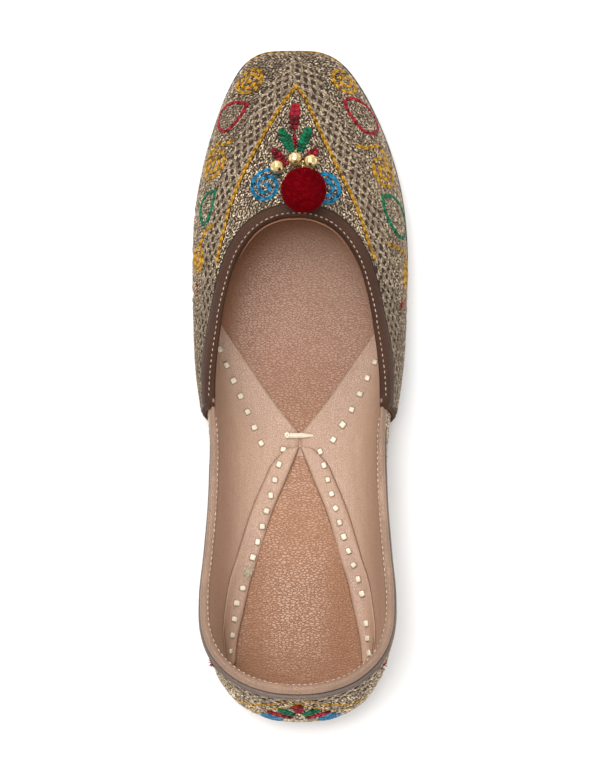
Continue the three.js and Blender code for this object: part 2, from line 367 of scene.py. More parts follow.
def grain_group():
    """Leather grain: small pebbles with creased valleys, and slow patches of tone."""
    tree, given, out = new_group(
        "Leather Grain",
        (
            ("Vector", "NodeSocketVector", None),
            ("Pebbles", "NodeSocketFloat", 900.0),
            ("Fold", "NodeSocketFloat", 0.3),
        ),
        (("Height", "NodeSocketFloat"), ("Tone", "NodeSocketFloat"), ("Valley", "NodeSocketFloat")),
    )
    bend = node(tree, "ShaderNodeTexNoise", {"Vector": given["Vector"], "Scale": 220.0, "Detail": 3.0})
    push = {0: bend.outputs["Color"], 1: (0.0016, 0.0016, 0.0016), 2: given["Vector"]}
    pushed = node(tree, "ShaderNodeVectorMath", push, operation="MULTIPLY_ADD")
    pebble = {"Vector": pushed.outputs[0], "Scale": given["Pebbles"]}
    cells = node(tree, "ShaderNodeTexVoronoi", pebble, feature="DISTANCE_TO_EDGE")
    valley = spread_to(tree, cells.outputs["Distance"], 0.0, 0.16)
    folds = maths(tree, "MULTIPLY", noise(tree, given["Vector"], 60.0, 5.0), given["Fold"])
    tree.links.new(maths(tree, "ADD", valley, folds), out["Height"])
    tree.links.new(spread_to(tree, noise(tree, given["Vector"], 28.0, 4.0), 0.3, 0.7), out["Tone"])
    tree.links.new(valley, out["Valley"])
    return tree


def wear_group():
    """Soft handling marks: broken scuffs and slow grime, as a mask."""
    tree, given, out = new_group(
        "Handling Marks",
        (
            ("Vector", "NodeSocketVector", None),
            ("Scale", "NodeSocketFloat", 90.0),
            ("Amount", "NodeSocketFloat", 0.3),
        ),
        (("Mask", "NodeSocketFloat"),),
    )
    stretched = node(tree, "ShaderNodeMapping", {"Vector": given["Vector"], "Scale": (1.0, 0.35, 1.0)})
    mask = spread_to(tree, noise(tree, stretched.outputs[0], given["Scale"], 8.0, 0.65), 0.52, 0.72)
    tree.links.new(maths(tree, "MULTIPLY", mask, given["Amount"]), out["Mask"])
    return tree


def thread_group():
    """Thread colour: each stitch has its own shade, and fine filaments run through it."""
    tree, given, out = new_group(
        "Thread",
        (
            ("Vector", "NodeSocketVector", None),
            ("Shade", "NodeSocketFloat", 0.5),
            ("Dark", "NodeSocketColor", (0.1, 0.08, 0.05, 1)),
            ("Light", "NodeSocketColor", (0.7, 0.6, 0.4, 1)),
        ),
        (("Color", "NodeSocketColor"), ("Roughness", "NodeSocketFloat"), ("Height", "NodeSocketFloat")),
    )
    fine = noise(tree, given["Vector"], 2600.0, 2.0)
    strand = maths(tree, "MULTIPLY", maths(tree, "SUBTRACT", fine, 0.5), 0.55)
    shade = maths(tree, "ADD", given["Shade"], strand, clamp=True)
    tree.links.new(mixed(tree, shade, given["Dark"], given["Light"]), out["Color"])
    tree.links.new(spread_to(tree, shade, 0.0, 1.0, 0.5, 0.26), out["Roughness"])
    tree.links.new(fine, out["Height"])
    return tree


def blank_material(name):
    made = bpy.data.materials.new(name)
    made.use_nodes = True
    made.node_tree.nodes.clear()
    tree = made.node_tree
    surface = node(tree, "ShaderNodeBsdfPrincipled")
    end = node(tree, "ShaderNodeOutputMaterial", {"Surface": surface.outputs[0]})
    end.location = (600, 0)
    place = node(tree, "ShaderNodeTexCoord").outputs["Object"]
    return made, tree, surface, place


def shaded(colour, factor):
    return (*(min(1.0, channel * factor) for channel in colour[:3]), 1.0)


def leather(
    name,
    colour,
    pebbles,
    bump,
    rough,
    fold=0.3,
    dark=0.8,
    scuff=0.2,
    stretch=(1, 1, 1),
    streaks=0.0,
    sheen=0.5,
):
    """Grained leather with deeper valleys, slow changes of tone, paler scuffs and lengthwise streaks."""
    made, tree, surface, place = blank_material(name)
    surface.inputs["Specular IOR Level"].default_value = sheen
    drawn = node(tree, "ShaderNodeMapping", {"Vector": place, "Scale": stretch})
    grain = grouped(tree, "Leather Grain", grain_group, drawn.outputs[0])
    grain.inputs["Pebbles"].default_value = pebbles
    grain.inputs["Fold"].default_value = fold
    marks = grouped(tree, "Handling Marks", wear_group, place)
    marks.inputs["Amount"].default_value = scuff
    combed = node(tree, "ShaderNodeMapping", {"Vector": place, "Scale": (1.0, 0.05, 0.6)})
    streak = noise(tree, combed.outputs[0], 1100.0, 3.0)
    toned = mixed(tree, grain.outputs["Tone"], shaded(colour, dark), (*colour[:3], 1))
    sunk = mixed(tree, grain.outputs["Valley"], shaded(colour, dark * 0.86), toned)
    lined = mixed(tree, maths(tree, "MULTIPLY", streak, streaks), sunk, shaded(colour, 0.55))
    worn = mixed(tree, marks.outputs["Mask"], lined, shaded(colour, 1.35))
    tree.links.new(worn, surface.inputs["Base Color"])
    dulled = spread_to(tree, grain.outputs["Height"], 0.0, 1.2, rough + 0.14, rough - 0.06)
    tree.links.new(dulled, surface.inputs["Roughness"])
    height = maths(tree, "ADD", grain.outputs["Height"], maths(tree, "MULTIPLY", streak, streaks * 1.6))
    raised(tree, surface, height, 0.7, bump)
    return made


def thread(name, dark, light, metal, rough_shift=0.0, sheen=0.5):
    """Stitching thread, which reads each stitch's own shade."""
    made, tree, surface, place = blank_material(name)
    surface.inputs["Specular IOR Level"].default_value = sheen
    strand = grouped(tree, "Thread", thread_group, place)
    own = node(tree, "ShaderNodeAttribute", attribute_name="shade").outputs["Fac"]
    tree.links.new(own, strand.inputs["Shade"])
    strand.inputs["Dark"].default_value = (*dark[:3], 1)
    strand.inputs["Light"].default_value = (*light[:3], 1)
    tree.links.new(strand.outputs["Color"], surface.inputs["Base Color"])
    tree.links.new(maths(tree, "ADD", strand.outputs["Roughness"], rough_shift), surface.inputs["Roughness"])
    surface.inputs["Metallic"].default_value = metal
    raised(tree, surface, strand.outputs["Height"], 0.5, 0.12)
    return made


def ground_cloth(name, colour):
    """The brown ground that shows between the stitches, a plain weave."""
    made, tree, surface, place = blank_material(name)
    weave = []
    for turn in ((0.0, 0.0, 0.6), (0.0, 0.0, -0.97)):
        drawn = node(tree, "ShaderNodeMapping", {"Vector": place, "Rotation": turn})
        sockets = {"Vector": drawn.outputs[0], "Scale": 420.0, "Distortion": 1.5}
        weave.append(node(tree, "ShaderNodeTexWave", sockets).outputs["Fac"])
    height = maths(tree, "MULTIPLY", *weave)
    slow = noise(tree, place, 160.0, 4.0)
    base = mixed(tree, height, shaded(colour, 0.35), (*colour[:3], 1))
    tree.links.new(mixed(tree, slow, base, shaded(colour, 0.7)), surface.inputs["Base Color"])
    raised(tree, surface, height, 0.7, 0.2)
    surface.inputs["Roughness"].default_value = 0.8
    return made


# ---- Mesh helpers ----
def finish_piece(name, mesh, material, replaces=(), smooth=True):
    piece = bpy.data.objects.new(name, mesh)
    bpy.context.scene.collection.objects.link(piece)
    mesh.materials.append(material)
    if smooth:
        mesh.shade_smooth()
    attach(piece, "root")
    if replaces:
        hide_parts(*replaces)
    return piece


def mesh_from(name, bm, merge=FINE):
    if merge:
        bmesh.ops.remove_doubles(bm, verts=bm.verts, dist=merge)
    mesh = bpy.data.meshes.new(name)
    bm.to_mesh(mesh)
    bm.free()
    return mesh


def grid_bmesh(columns, rows, place):
    """A grid whose place(u, v) gives each vertex's point on the last, in mm, from two shares."""
    bm = bmesh.new()
    bm.loops.layers.uv.new("UVMap")
    bmesh.ops.create_grid(bm, x_segments=columns, y_segments=rows, size=0.5, calc_uvs=True)
    shares = np.clip(np.array([vert.co[:2] for vert in bm.verts]) + 0.5, 0, 1)
    for vert, spot in zip(bm.verts, to_frame(place(shares[:, 0], shares[:, 1]))):
        vert.co = spot
    return bm


def face_towards(bm, reference):
    """Turns an open sheet so that its faces look the way reference(point) gives, for most of it."""
    bmesh.ops.remove_doubles(bm, verts=bm.verts, dist=FINE)
    bmesh.ops.recalc_face_normals(bm, faces=bm.faces)
    agreed = (face.normal.dot(reference(face.calc_center_median())) * face.calc_area() for face in bm.faces)
    if sum(agreed) < 0:
        bmesh.ops.reverse_faces(bm, faces=bm.faces)


def from_axis(point):
    """The way out of the shoe, from a line along its middle."""
    return Vector((point.x, point.y * 0.25, point.z - 0.02)).normalized()


def inwards(point):
    return -from_axis(point)


def upwards(point):
    return UP


def thicken(piece, thickness):
    """Gives a sheet its thickness in mm, behind its face."""
    wall = piece.modifiers.new("Wall", "SOLIDIFY")
    wall.thickness = thickness * MM
    wall.offset = -1


def sheet_piece(name, columns, rows, place, thickness, material, reference=from_axis, replaces=()):
    """A sheet of real thickness: its face is where place says, and the wall grows away from it."""
    bm = grid_bmesh(columns, rows, place)
    face_towards(bm, reference)
    thicken(finish_piece(name, mesh_from(name, bm, 0), material, replaces), thickness)


def strip_piece(name, steps, section_steps, place, material, replaces=()):
    """A closed strip: place(u, v) goes along it with u and once round its section with v."""
    bm = grid_bmesh(steps, section_steps, place)
    bmesh.ops.remove_doubles(bm, verts=bm.verts, dist=FINE)
    ends = [edge for edge in bm.edges if edge.is_boundary]
    bmesh.ops.holes_fill(bm, edges=ends, sides=0)
    bmesh.ops.recalc_face_normals(bm, faces=bm.faces)
    finish_piece(name, mesh_from(name, bm, 0), material, replaces)


def template(bm):
    """A small closed mesh as arrays, for stamping: its points, and its faces."""
    bmesh.ops.recalc_face_normals(bm, faces=bm.faces)
    bm.verts.index_update()
    points = np.array([vert.co[:] for vert in bm.verts])
    faces = [[vert.index for vert in face.verts] for face in bm.faces]
    bm.free()
    return points, faces


def swung(bm, start, end):
    """Turns a whole bmesh as start turns to end."""
    turn = Vector(start).rotation_difference(Vector(end))
    bmesh.ops.rotate(bm, verts=bm.verts, matrix=turn.to_matrix())


def join(bm, part):
    """Adds a part to a bmesh."""
    passing = bpy.data.meshes.new("passing")
    part.to_mesh(passing)
    part.free()
    bm.from_mesh(passing)
    bpy.data.meshes.remove(passing)


def grain(sides=4, rings=3):
    """A rice grain of length 1 along X, with its greatest width and height 1."""
    bm = bmesh.new()
    bmesh.ops.create_uvsphere(bm, u_segments=sides, v_segments=rings, radius=0.5)
    swung(bm, UP, (1, 0, 0))
    return bm


def chain_link(sides=6, rings=5, splay=24):
    """One link of chain stitch: two grains that start together and part."""
    bm = bmesh.new()
    for side in SIDES:
        part = grain(sides, rings)
        bmesh.ops.scale(part, verts=part.verts, vec=(1.25, 0.46, 0.8))
        swung(part, (1, 0, 0), (math.cos(math.radians(splay)), side * math.sin(math.radians(splay)), 0))
        bmesh.ops.translate(part, verts=part.verts, vec=(0, side * 0.24, 0))
        join(bm, part)
    return bm


def lace_cube():
    """One square lace stitch: a soft-cornered cushion of side 1."""
    bm = bmesh.new()
    bmesh.ops.create_cube(bm, size=1.0)
    bmesh.ops.bevel(bm, geom=bm.edges[:], offset=0.22, segments=2, affect="EDGES", profile=0.5, material=-1)
    return bm


def stamp(name, shape, origins, alongs, outs, sizes, shades, material, slot):
    """Joins copies of a template. Places are in mm on the last; sizes are length, width and height in mm."""
    points, faces = shape
    count, each = len(origins), len(points)
    alongs, outs = unit(np.asarray(alongs, float)), np.asarray(outs, float)
    outs = unit(outs - alongs * np.sum(outs * alongs, axis=1, keepdims=True))
    acrosses = np.cross(outs, alongs)
    spots = np.asarray(origins)[:, None, :] + sum(
        points[None, :, axis, None] * (direction * sizes[:, axis : axis + 1])[:, None, :]
        for axis, direction in enumerate((alongs, acrosses, outs))
    )
    mesh = bpy.data.meshes.new(name)
    mesh.vertices.add(count * each)
    mesh.vertices.foreach_set("co", to_frame(spots).astype(np.float32).ravel())
    corners = np.concatenate([np.array(face) for face in faces])
    totals = np.array([len(face) for face in faces])
    mesh.loops.add(count * len(corners))
    copies = np.arange(count)[:, None]
    mesh.loops.foreach_set("vertex_index", (corners[None, :] + each * copies).ravel().astype(np.int32))
    starts = np.concatenate([[0], np.cumsum(totals)[:-1]])
    mesh.polygons.add(count * len(faces))
    starts = starts[None, :] + len(corners) * copies
    mesh.polygons.foreach_set("loop_start", starts.ravel().astype(np.int32))
    mesh.update(calc_edges=True)
    mesh.validate()
    own = mesh.attributes.new("shade", "FLOAT", "POINT")
    own.data.foreach_set("value", np.repeat(shades, each).astype(np.float32))
    finish_piece(name, mesh, material)


# ---- Sizes and colours that a user may change ----
def size_prop(name, description, value):
    kind = {"subtype": "DISTANCE", "unit": "LENGTH", "precision": 5}
    return FloatProperty(name=name, description=description, default=value * MM, min=0.0, **kind)


def colour_prop(name, description, value):
    kind = {"subtype": "COLOR", "size": 3, "min": 0.0, "max": 1.0}
    return FloatVectorProperty(name=name, description=description, default=value, **kind)


class MojariSizes(bpy.types.PropertyGroup):
    zari_length: size_prop("Zari stitch", "Length of one stitch of the metallic ground", 1.5)
    zari_width: size_prop("Zari width", "Width of one stitch of the metallic ground", 0.78)
    zari_row: size_prop("Zari row", "Distance from one row of the ground to the next", 0.88)
    lattice_cell: size_prop("Lattice cell", "Length of one diamond in the open lattice", 5.3)
    lattice_width: size_prop("Lattice width", "Width of the lattice band outside the mustard chevron", 8.4)
    chain_width: size_prop("Chain width", "Width of a coloured chain stitch", 1.4)
    lace_stitch: size_prop("Lace stitch", "Side of a square cream lace stitch", 2.1)
    dash: size_prop("Seam stitch", "Length of a machine stitch on the bindings", 1.3)
    dash_pitch: size_prop("Seam pitch", "Distance from one machine stitch to the next", 2.1)
    fibre: size_prop("Pompom fibre", "Length of a fibre on the pompom", 0.9)


class MojariColours(bpy.types.PropertyGroup):
    ground: colour_prop("Ground cloth", "Brown cloth under the embroidery", (0.055, 0.025, 0.014))
    zari_light: colour_prop("Zari light", "Metallic thread where it shines", (0.80, 0.645, 0.45))
    zari_dark: colour_prop("Zari dark", "Metallic thread where it turns away", (0.10, 0.065, 0.040))
    mustard: colour_prop("Mustard", "Mustard thread", (0.36, 0.185, 0.012))
    red: colour_prop("Red", "Red thread", (0.235, 0.006, 0.016))
    green: colour_prop("Green", "Green thread", (0.002, 0.115, 0.05))
    blue: colour_prop("Blue", "Blue thread", (0.009, 0.145, 0.28))
    cream: colour_prop("Cream", "Lace and seam stitches", (0.70, 0.62, 0.48))
    lining: colour_prop("Lining", "Nude lining leather", (0.53, 0.335, 0.235))
    collar: colour_prop("Collar", "Turned leather edge round the collar", (0.36, 0.215, 0.14))
    footbed: colour_prop("Footbed", "Rose-brown footbed leather", (0.39, 0.192, 0.105))
    binding: colour_prop("Binding", "Bronze-brown leather of the throat binding", (0.078, 0.033, 0.018))
    piping: colour_prop("Piping", "Grey-brown piping round the back of the collar", (0.20, 0.14, 0.11))
    sole: colour_prop("Sole", "Tan sole leather", (0.36, 0.215, 0.12))
    sole_edge: colour_prop("Sole edge", "Ink on the edge of the sole", (0.022, 0.021, 0.026))
    wool: colour_prop("Pompom", "Dark red pompom wool", (0.17, 0.0004, 0.0035))
    gold: colour_prop("Gold", "Pale gold of the beads", (0.90, 0.68, 0.32))


def mm(name):
    return getattr(bpy.context.scene.mojari_sizes, name) / MM


def colour(name):
    return tuple(getattr(bpy.context.scene.mojari_colours, name))


def silk(name):
    """A coloured thread: a dark copy of its colour as painted shade where its stitches turn away, and a
    light copy as painted highlight.
    """
    title, tint = f"{name.capitalize()} silk", colour(name)
    known = bpy.data.materials.get(title)
    return known or thread(title, shaded(tint, 0.22), shaded(tint, 1.5), 0.0, sheen=0.12)


# ---- Laying work on a surface ----
def surface_tree(name):
    mesh = bpy.data.objects[name].data
    faces = [face.vertices[:] for face in mesh.polygons]
    return BVHTree.FromPolygons([vert.co for vert in mesh.vertices], faces)


def settle(tree, points):
    """The nearest places on a surface, and the way out of it there."""
    spots, outs = [], []
    for point in to_frame(points):
        spot, out, _, _ = tree.find_nearest(point)
        spots.append(spot)
        outs.append(out)
    return to_last(spots), np.array(outs)


def drop_on(trees, plan):
    """Where plumb lines through points given in plan first meet any of some surfaces from above."""
    spots, outs = [], []
    for x, y in plan:
        top = Vector((*to_frame((x, y, 0))[:2], 0.15))
        hits = [hit for hit in (tree.ray_cast(top, -UP) for tree in trees) if hit[0]]
        if not hits:
            raise RuntimeError(f"nothing under {x:.1f}, {y:.1f}")
        spot, out, _, _ = min(hits, key=lambda hit: hit[3])
        spots.append(spot)
        outs.append(out)
    return to_last(spots), np.array(outs)


def smooth_through(nodes, steps=24):
    """A dense Catmull-Rom curve through points."""
    nodes = np.asarray(nodes, float)
    ends = np.concatenate([[2 * nodes[0] - nodes[1]], nodes, [2 * nodes[-1] - nodes[-2]]])
    f = np.linspace(0, 1, steps, endpoint=False)[:, None]
    curve = [blend(*four, f) for four in zip(ends, ends[1:], ends[2:], ends[3:])]
    return np.concatenate([*curve, nodes[-1:]])


def paced(curve, pitch, start=0.0):
    """Points at an even pitch along a curve, and the way it runs at each."""
    travel = lengths(curve)
    count = max(2, int(round((travel[-1] - start) / pitch)) + 1)
    at = np.linspace(start, travel[-1], count)
    points = np.stack([np.interp(at, travel, curve[:, axis]) for axis in range(3)], 1)
    return points, unit(np.gradient(points, axis=0))


def on_cloth(nodes):
    """Points on the cloth at pairs of a ray and a height in mm above the sole."""
    nodes = np.asarray(nodes, float)
    return cloth_point(nodes[:, 0], up_at(nodes[:, 0], nodes[:, 1]))


def middle_line(y):
    return swing(np.asarray(y) / LENGTH + 0.5)


# ---- The mustard chevron: each leg as a ray and a height, from its apex at the toe ----
CHEVRON_LEGS = {
    1: (
        (-0.1, 21.9), (0.35, 27.8), (0.75, 33.7), (1.1, 38.5), (1.6, 43.2), (2.25, 46.4), (2.95, 48.7),
        (3.65, 50.0), (4.45, 49.2), (5.35, 46.6), (6.05, 43.9), (6.5, 41.8),
    ),
    -1: (
        (-0.1, 21.9), (-0.38, 26.0), (-0.62, 31.5), (-0.9, 37.6), (-1.27, 44.0), (-1.85, 49.4),
        (-2.55, 52.6), (-3.25, 54.1), (-4.05, 53.6), (-4.95, 50.8), (-5.65, 47.6), (-6.35, 43.5),
    ),
}
WING_RUN = (7.7, 8.8, 10.0, 10.85)  # rays where the lattice goes on, beside the binding
TOE_RUN = 17.0  # mm that the lattice goes on past the apex, towards the toe


class Leg:
    """One leg of the chevron as a curve on the cloth, with the way across it, away from the chevron."""

    def __init__(self, side, tree):
        nodes = on_cloth(CHEVRON_LEGS[side])
        wing = [(side * ray, wall_length(side * ray) - BINDING_WIDTH - 0.8) for ray in WING_RUN]
        run = smooth_through(np.concatenate([nodes, on_cloth(wing)]))
        start = run[0] + (run[0] - run[12]) / np.linalg.norm(run[0] - run[12]) * TOE_RUN
        run = np.concatenate([np.linspace(start, run[0], 24, endpoint=False), run])
        points, self.along = paced(run, 0.5)
        self.points, self.out = settle(tree, points)
        self.side = side
        self.across = unit(np.cross(self.along, self.out)) * side
        if np.mean(self.across[:, 0]) * side < 0:
            self.across = -self.across
        self.travel = lengths(self.points) - TOE_RUN

    def place(self, travel, offset):
        """Points at distances along the leg and across it, still to be settled on the cloth."""
        point, across = (
            np.stack([np.interp(travel, self.travel, values[:, axis]) for axis in range(3)], 1)
            for values in (self.points, self.across)
        )
        return point + across * np.asarray(offset)[..., None]

    def offset(self, points):
        """Signed distances across the leg, positive outside the chevron."""
        gap = points[:, None, :] - self.points[None, :, :]
        nearest = np.argmin(np.sum(gap**2, axis=2), axis=1)
        gap = gap[np.arange(len(points)), nearest]
        return np.sign(np.sum(gap * self.across[nearest], axis=1)) * np.linalg.norm(gap, axis=1)


def own_side(points, side):
    return (points[:, 0] - middle_line(points[:, 1])) * side > 0


def from_curve(points, curve):
    """Each point's distance from a curve."""
    return np.min(np.linalg.norm(points[:, None, :] - curve[None, :, :], axis=2), axis=1)


class Work:
    """Stitches gathered for one piece: where each is, how it lies, its size and its shade."""

    def __init__(self):
        self.rows = []

    def add(self, points, alongs, outs, sizes, shades):
        sizes = np.broadcast_to(sizes, (len(points), 3))
        self.rows.append(np.column_stack([points, alongs, outs, sizes, shades]))

    def make(self, name, shape, material, slot=CLOTH_SLOT):
        rows = np.concatenate(self.rows)
        stamp(name, shape, *(rows[:, at : at + 3] for at in (0, 3, 6, 9)), rows[:, 12], material, slot)


def sized(length, width, height):
    """Rows of sizes, from arrays or single numbers."""
    return np.column_stack(np.broadcast_arrays(length, width, height))


def tilted(alongs, outs, angles):
    """Turns directions about the way out, by angles in radians."""
    across = np.cross(outs, alongs)
    return alongs * np.cos(angles)[:, None] + across * np.sin(angles)[:, None]


def glitter(chance, count):
    """Shades of metallic stitches: most middling, some in shadow, and a few that flash."""
    shades = np.clip(chance.normal(0.5, 0.2, count), 0.05, 0.95)
    shades[chance.random(count) < 0.19] = 1.25
    # About a fifth of the stitches get painted shade.
    painted_shade = chance.random(count) < 0.2
    shades[painted_shade] *= 0.35
    return shades


# ---- Cloth ----
class MOJARI_OT_cloth(bpy.types.Operator):
    """The ground cloth of the vamp with its two wings, and of the quarters round the heel"""

    bl_idname = "mojari.cloth"
    bl_label = "Ground cloth"

    def execute(self, context):
        material = ground_cloth("Ground cloth", colour("ground"))

        def vamp(u, v):
            return cloth_point((u * 2 - 1) * WING_RAY, v * CLOTH_TOP)

        def quarter(u, v):
            return quarter_cloth(8.6 + u * (ROUND - 17.2), v * CLOTH_TOP)

        sheet_piece("vamp_cloth", 150, 54, vamp, 0.5, material, replaces=("upper",))
        sheet_piece("quarter_cloth", 150, 30, quarter, 1.2, material, replaces=("upper",))
        return {"FINISHED"}


# ---- Linings ----
# The lining's inner edge on the footbed as plan x and y, and the ray on the wall that it hangs from: from
# the wall to the waist stitch, then back to the heel.
FRONT_EDGE = (
    (34.6, -31.0, 8.2), (29.0, -21.5, 9.0), (19.8, -8.0, 9.9), (9.2, 7.4, 10.8), (-0.9, 20.0, 11.6),
)
BACK_EDGE = (
    (-0.9, 24.6, 11.75), (4.2, 37.5, 12.3), (9.3, 50.0, 13.0), (14.6, 68.0, 13.95), (17.2, 76.0, 14.4),
    (19.2, 85.0, 15.0), (21.8, 97.0, 15.8), (22.8, 106.0, 16.8),
)
FRONT_SHARE = 0.36
WAIST_MIDDLE = -0.9  # where the two wings meet, across the shoe


def footbed_height(y):
    """The top of the footbed's rim, before its crown."""
    return sole_top(y) + GAP + INSOLE_THICK


def inner_edge(side, share):
    """A point on the lining's inner edge, with the place on the wall that it hangs from, as a ray."""
    result = np.zeros((*share.shape, 3))
    for part, low, high, nodes in (
        (share <= FRONT_SHARE, 0.0, FRONT_SHARE, FRONT_EDGE),
        (share > FRONT_SHARE, FRONT_SHARE, 1.0, BACK_EDGE),
    ):
        curve = smooth_through(nodes)
        travel = lengths(curve[:, :2])
        local = (share[part] - low) / (high - low)
        for axis in range(3):
            result[part, axis] = np.interp(local * travel[-1], travel, curve[:, axis])
    rays = result[:, 2].copy()
    result[:, 0] = side * (result[:, 0] - WAIST_MIDDLE) + WAIST_MIDDLE
    result[:, 2] = footbed_height(result[:, 1]) + 1.4
    return result, rays * side


def panel_point(side, share, drop):
    """A point on a quarter's lining: share goes from its front to the heel, drop from the rim inwards."""
    inner, rays = inner_edge(side, share)
    under = ramp(WING_RAY + 0.8, WING_RAY - 0.6, np.abs(rays))
    top = wall_point(rays, 0.97 - 0.1 * under, -WALL - 0.2 + 0.75 * under)
    foot = wall_point(rays, 0.1, -WALL - 0.4)
    foot[:, 2] = footbed_height(foot[:, 1]) + 0.9
    reach = foot * 0.62 + inner * 0.38
    reach[:, 2] = footbed_height(reach[:, 1]) + 0.9
    t = drop[:, None]
    return top * (1 - t) ** 3 + 3 * foot * t * (1 - t) ** 2 + 3 * reach * t**2 * (1 - t) + inner * t**3


class MOJARI_OT_lining(bpy.types.Operator):
    """The vamp's lining, and the two quarter linings whose wings cross the footbed and meet at the waist"""

    bl_idname = "mojari.lining"
    bl_label = "Linings"

    def execute(self, context):
        nude = leather("Lining leather", colour("lining"), 1300.0, 0.1, 0.42, 0.5, 0.86, 0.12, streaks=0.5)

        def vamp(u, v):
            ray = (u * 2 - 1) * (WING_RAY - 0.1)
            return wall_point(ray, v * CLOTH_TOP, wing_share(ray) * 1.2 - WALL)

        sheet_piece("vamp_lining", 120, 40, vamp, 1.0, nude, inwards, ("upper",))
        for side, label in HANDS:

            def panel(u, v, side=side):
                back = FRONT_SHARE + (u - 0.4) / 0.6 * (1 - FRONT_SHARE)
                return panel_point(side, np.where(u < 0.4, u / 0.4 * FRONT_SHARE, back), v)

            sheet_piece(f"quarter_lining_{label}", 110, 40, panel, 1.0, nude, upwards)

        def heel(u, v):
            ray = 16.6 + u * (ROUND - 33.2)
            return wall_point(ray, 0.97 - v * 0.93, -WALL - 0.15)

        sheet_piece("heel_lining", 60, 24, heel, 0.8, nude, inwards, ("upper",))
        return {"FINISHED"}


# ---- Footbed and sole ----
def spanned(ray, margin, share):
    """Points on the way from the left of the outline to its right, with half the width there."""
    left, right = (outline(side * ray, margin) for side in SIDES)
    return left * (1 - share)[:, None] + right * share[:, None], np.linalg.norm(left - right, axis=1) / 2


def part_of(tree, kind):
    return next(part for part in tree.nodes if part.type == kind)


def soften_front(made):
    """Lets the grain fade from pebbles under the heel to a smooth skin under the toes."""
    tree = made.node_tree
    place = part_of(tree, "TEX_COORD").outputs["Object"]
    along = node(tree, "ShaderNodeSeparateXYZ", {"Vector": place}).outputs["Y"]
    share = spread_to(tree, along, -0.02, 0.06, 0.18, 1.0)
    lift = part_of(tree, "BUMP")
    height = lift.inputs["Height"].links[0].from_socket
    tree.links.new(maths(tree, "MULTIPLY", height, share), lift.inputs["Height"])
    surface = part_of(tree, "BSDF_PRINCIPLED")
    base = surface.inputs["Base Color"].links[0].from_socket
    front = mixed(tree, spread_to(tree, along, 0.0, 0.045), (0.73, 0.63, 0.54, 1), (1, 1, 1, 1))
    tinted = {"data_type": "RGBA", "blend_type": "MULTIPLY"}
    both = node(tree, "ShaderNodeMix", {6: base, 7: front, 0: 1.0}, **tinted)
    tree.links.new(both.outputs[2], surface.inputs["Base Color"])


class MOJARI_OT_footbed(bpy.types.Operator):
    """The footbed with its padded heel"""

    bl_idname = "mojari.footbed"
    bl_label = "Footbed"

    def execute(self, context):
        tint, stretch = colour("footbed"), (0.5, 1.0, 1.0)
        rose = leather("Footbed leather", tint, 1300.0, 0.24, 0.38, 0.25, 0.9, 0.1, stretch, 0.05)
        soften_front(rose)

        def bed(u, v):
            ray = 0.3 + u * (LAST_RAY - 0.6)
            at, half = spanned(ray, -INSOLE_INSET, v)
            across = 2 * v - 1
            rim = 1 - np.abs(across)
            crown = 0.9 * (1 - np.exp(-rim * half / 4))
            y = at[:, 1]
            pad = 2.6 * np.exp(-(((y - 84) / 30) ** 4)) * np.exp(-((across * half / 17) ** 4))
            at[:, 2] = footbed_height(y) - 0.1 + crown + pad
            return at

        bm = grid_bmesh(170, 70, bed)
        face_towards(bm, upwards)
        piece = finish_piece("footbed", mesh_from("footbed", bm, 0), rose, ("insole",))
        thicken(piece, INSOLE_THICK - 0.3)
        return {"FINISHED"}


def sole_material():
    """Tan sole leather with an inked edge, and scuffs underneath."""
    made = leather("Sole leather", colour("sole"), 520.0, 0.14, 0.55, fold=0.6, dark=0.66, scuff=0.4)
    tree = made.node_tree
    surface = part_of(tree, "BSDF_PRINCIPLED")
    base = surface.inputs["Base Color"].links[0].from_socket
    edge = node(tree, "ShaderNodeAttribute", attribute_name="edge").outputs["Fac"]
    groups = (part for part in tree.nodes if part.type == "GROUP")
    worn = next(part for part in groups if part.node_tree.name == "Handling Marks")
    ink = mixed(tree, worn.outputs["Mask"], (*colour("sole_edge"), 1), shaded(colour("sole"), 0.5))
    tree.links.new(mixed(tree, edge, base, ink), surface.inputs["Base Color"])
    return made


class MOJARI_OT_sole(bpy.types.Operator):
    """The leather sole, with an inked edge and its low heel in one piece"""

    bl_idname = "mojari.sole"
    bl_label = "Sole"

    def execute(self, context):
        def underside(u, v):
            ray = 0.25 + u * (LAST_RAY - 0.5)
            at, _ = spanned(ray, sole_margin(ray) * 0.6, v)
            at[:, 2] = sole_bottom(at[:, 1])
            return at

        bm = grid_bmesh(200, 24, underside)
        bmesh.ops.remove_doubles(bm, verts=bm.verts, dist=FINE)
        top = bmesh.ops.extrude_face_region(bm, geom=bm.faces[:] + bm.edges[:] + bm.verts[:])["geom"]
        for vert in (part for part in top if isinstance(part, bmesh.types.BMVert)):
            vert.co.z = float(sole_top(to_last(vert.co)[1])) * MM
        bmesh.ops.recalc_face_normals(bm, faces=bm.faces)
        sharp = [edge for edge in bm.edges if edge.is_manifold and edge.calc_face_angle() > 1.0]
        rounding = {"affect": "EDGES", "profile": 0.5, "material": -1, "clamp_overlap": True}
        bmesh.ops.bevel(bm, geom=sharp, offset=0.8 * MM, segments=3, **rounding)
        mesh = mesh_from("sole", bm, 0)
        finish_piece("sole", mesh, sole_material(), ("outsole",))
        y, z = (np.array([to_last(vert.co)[axis] for vert in mesh.vertices]) for axis in (1, 2))
        share = (z - sole_bottom(y)) / (sole_top(y) - sole_bottom(y))
        own = mesh.attributes.new("edge", "FLOAT", "POINT")
        own.data.foreach_set("value", (share > 0.03).astype(np.float32))
        return {"FINISHED"}


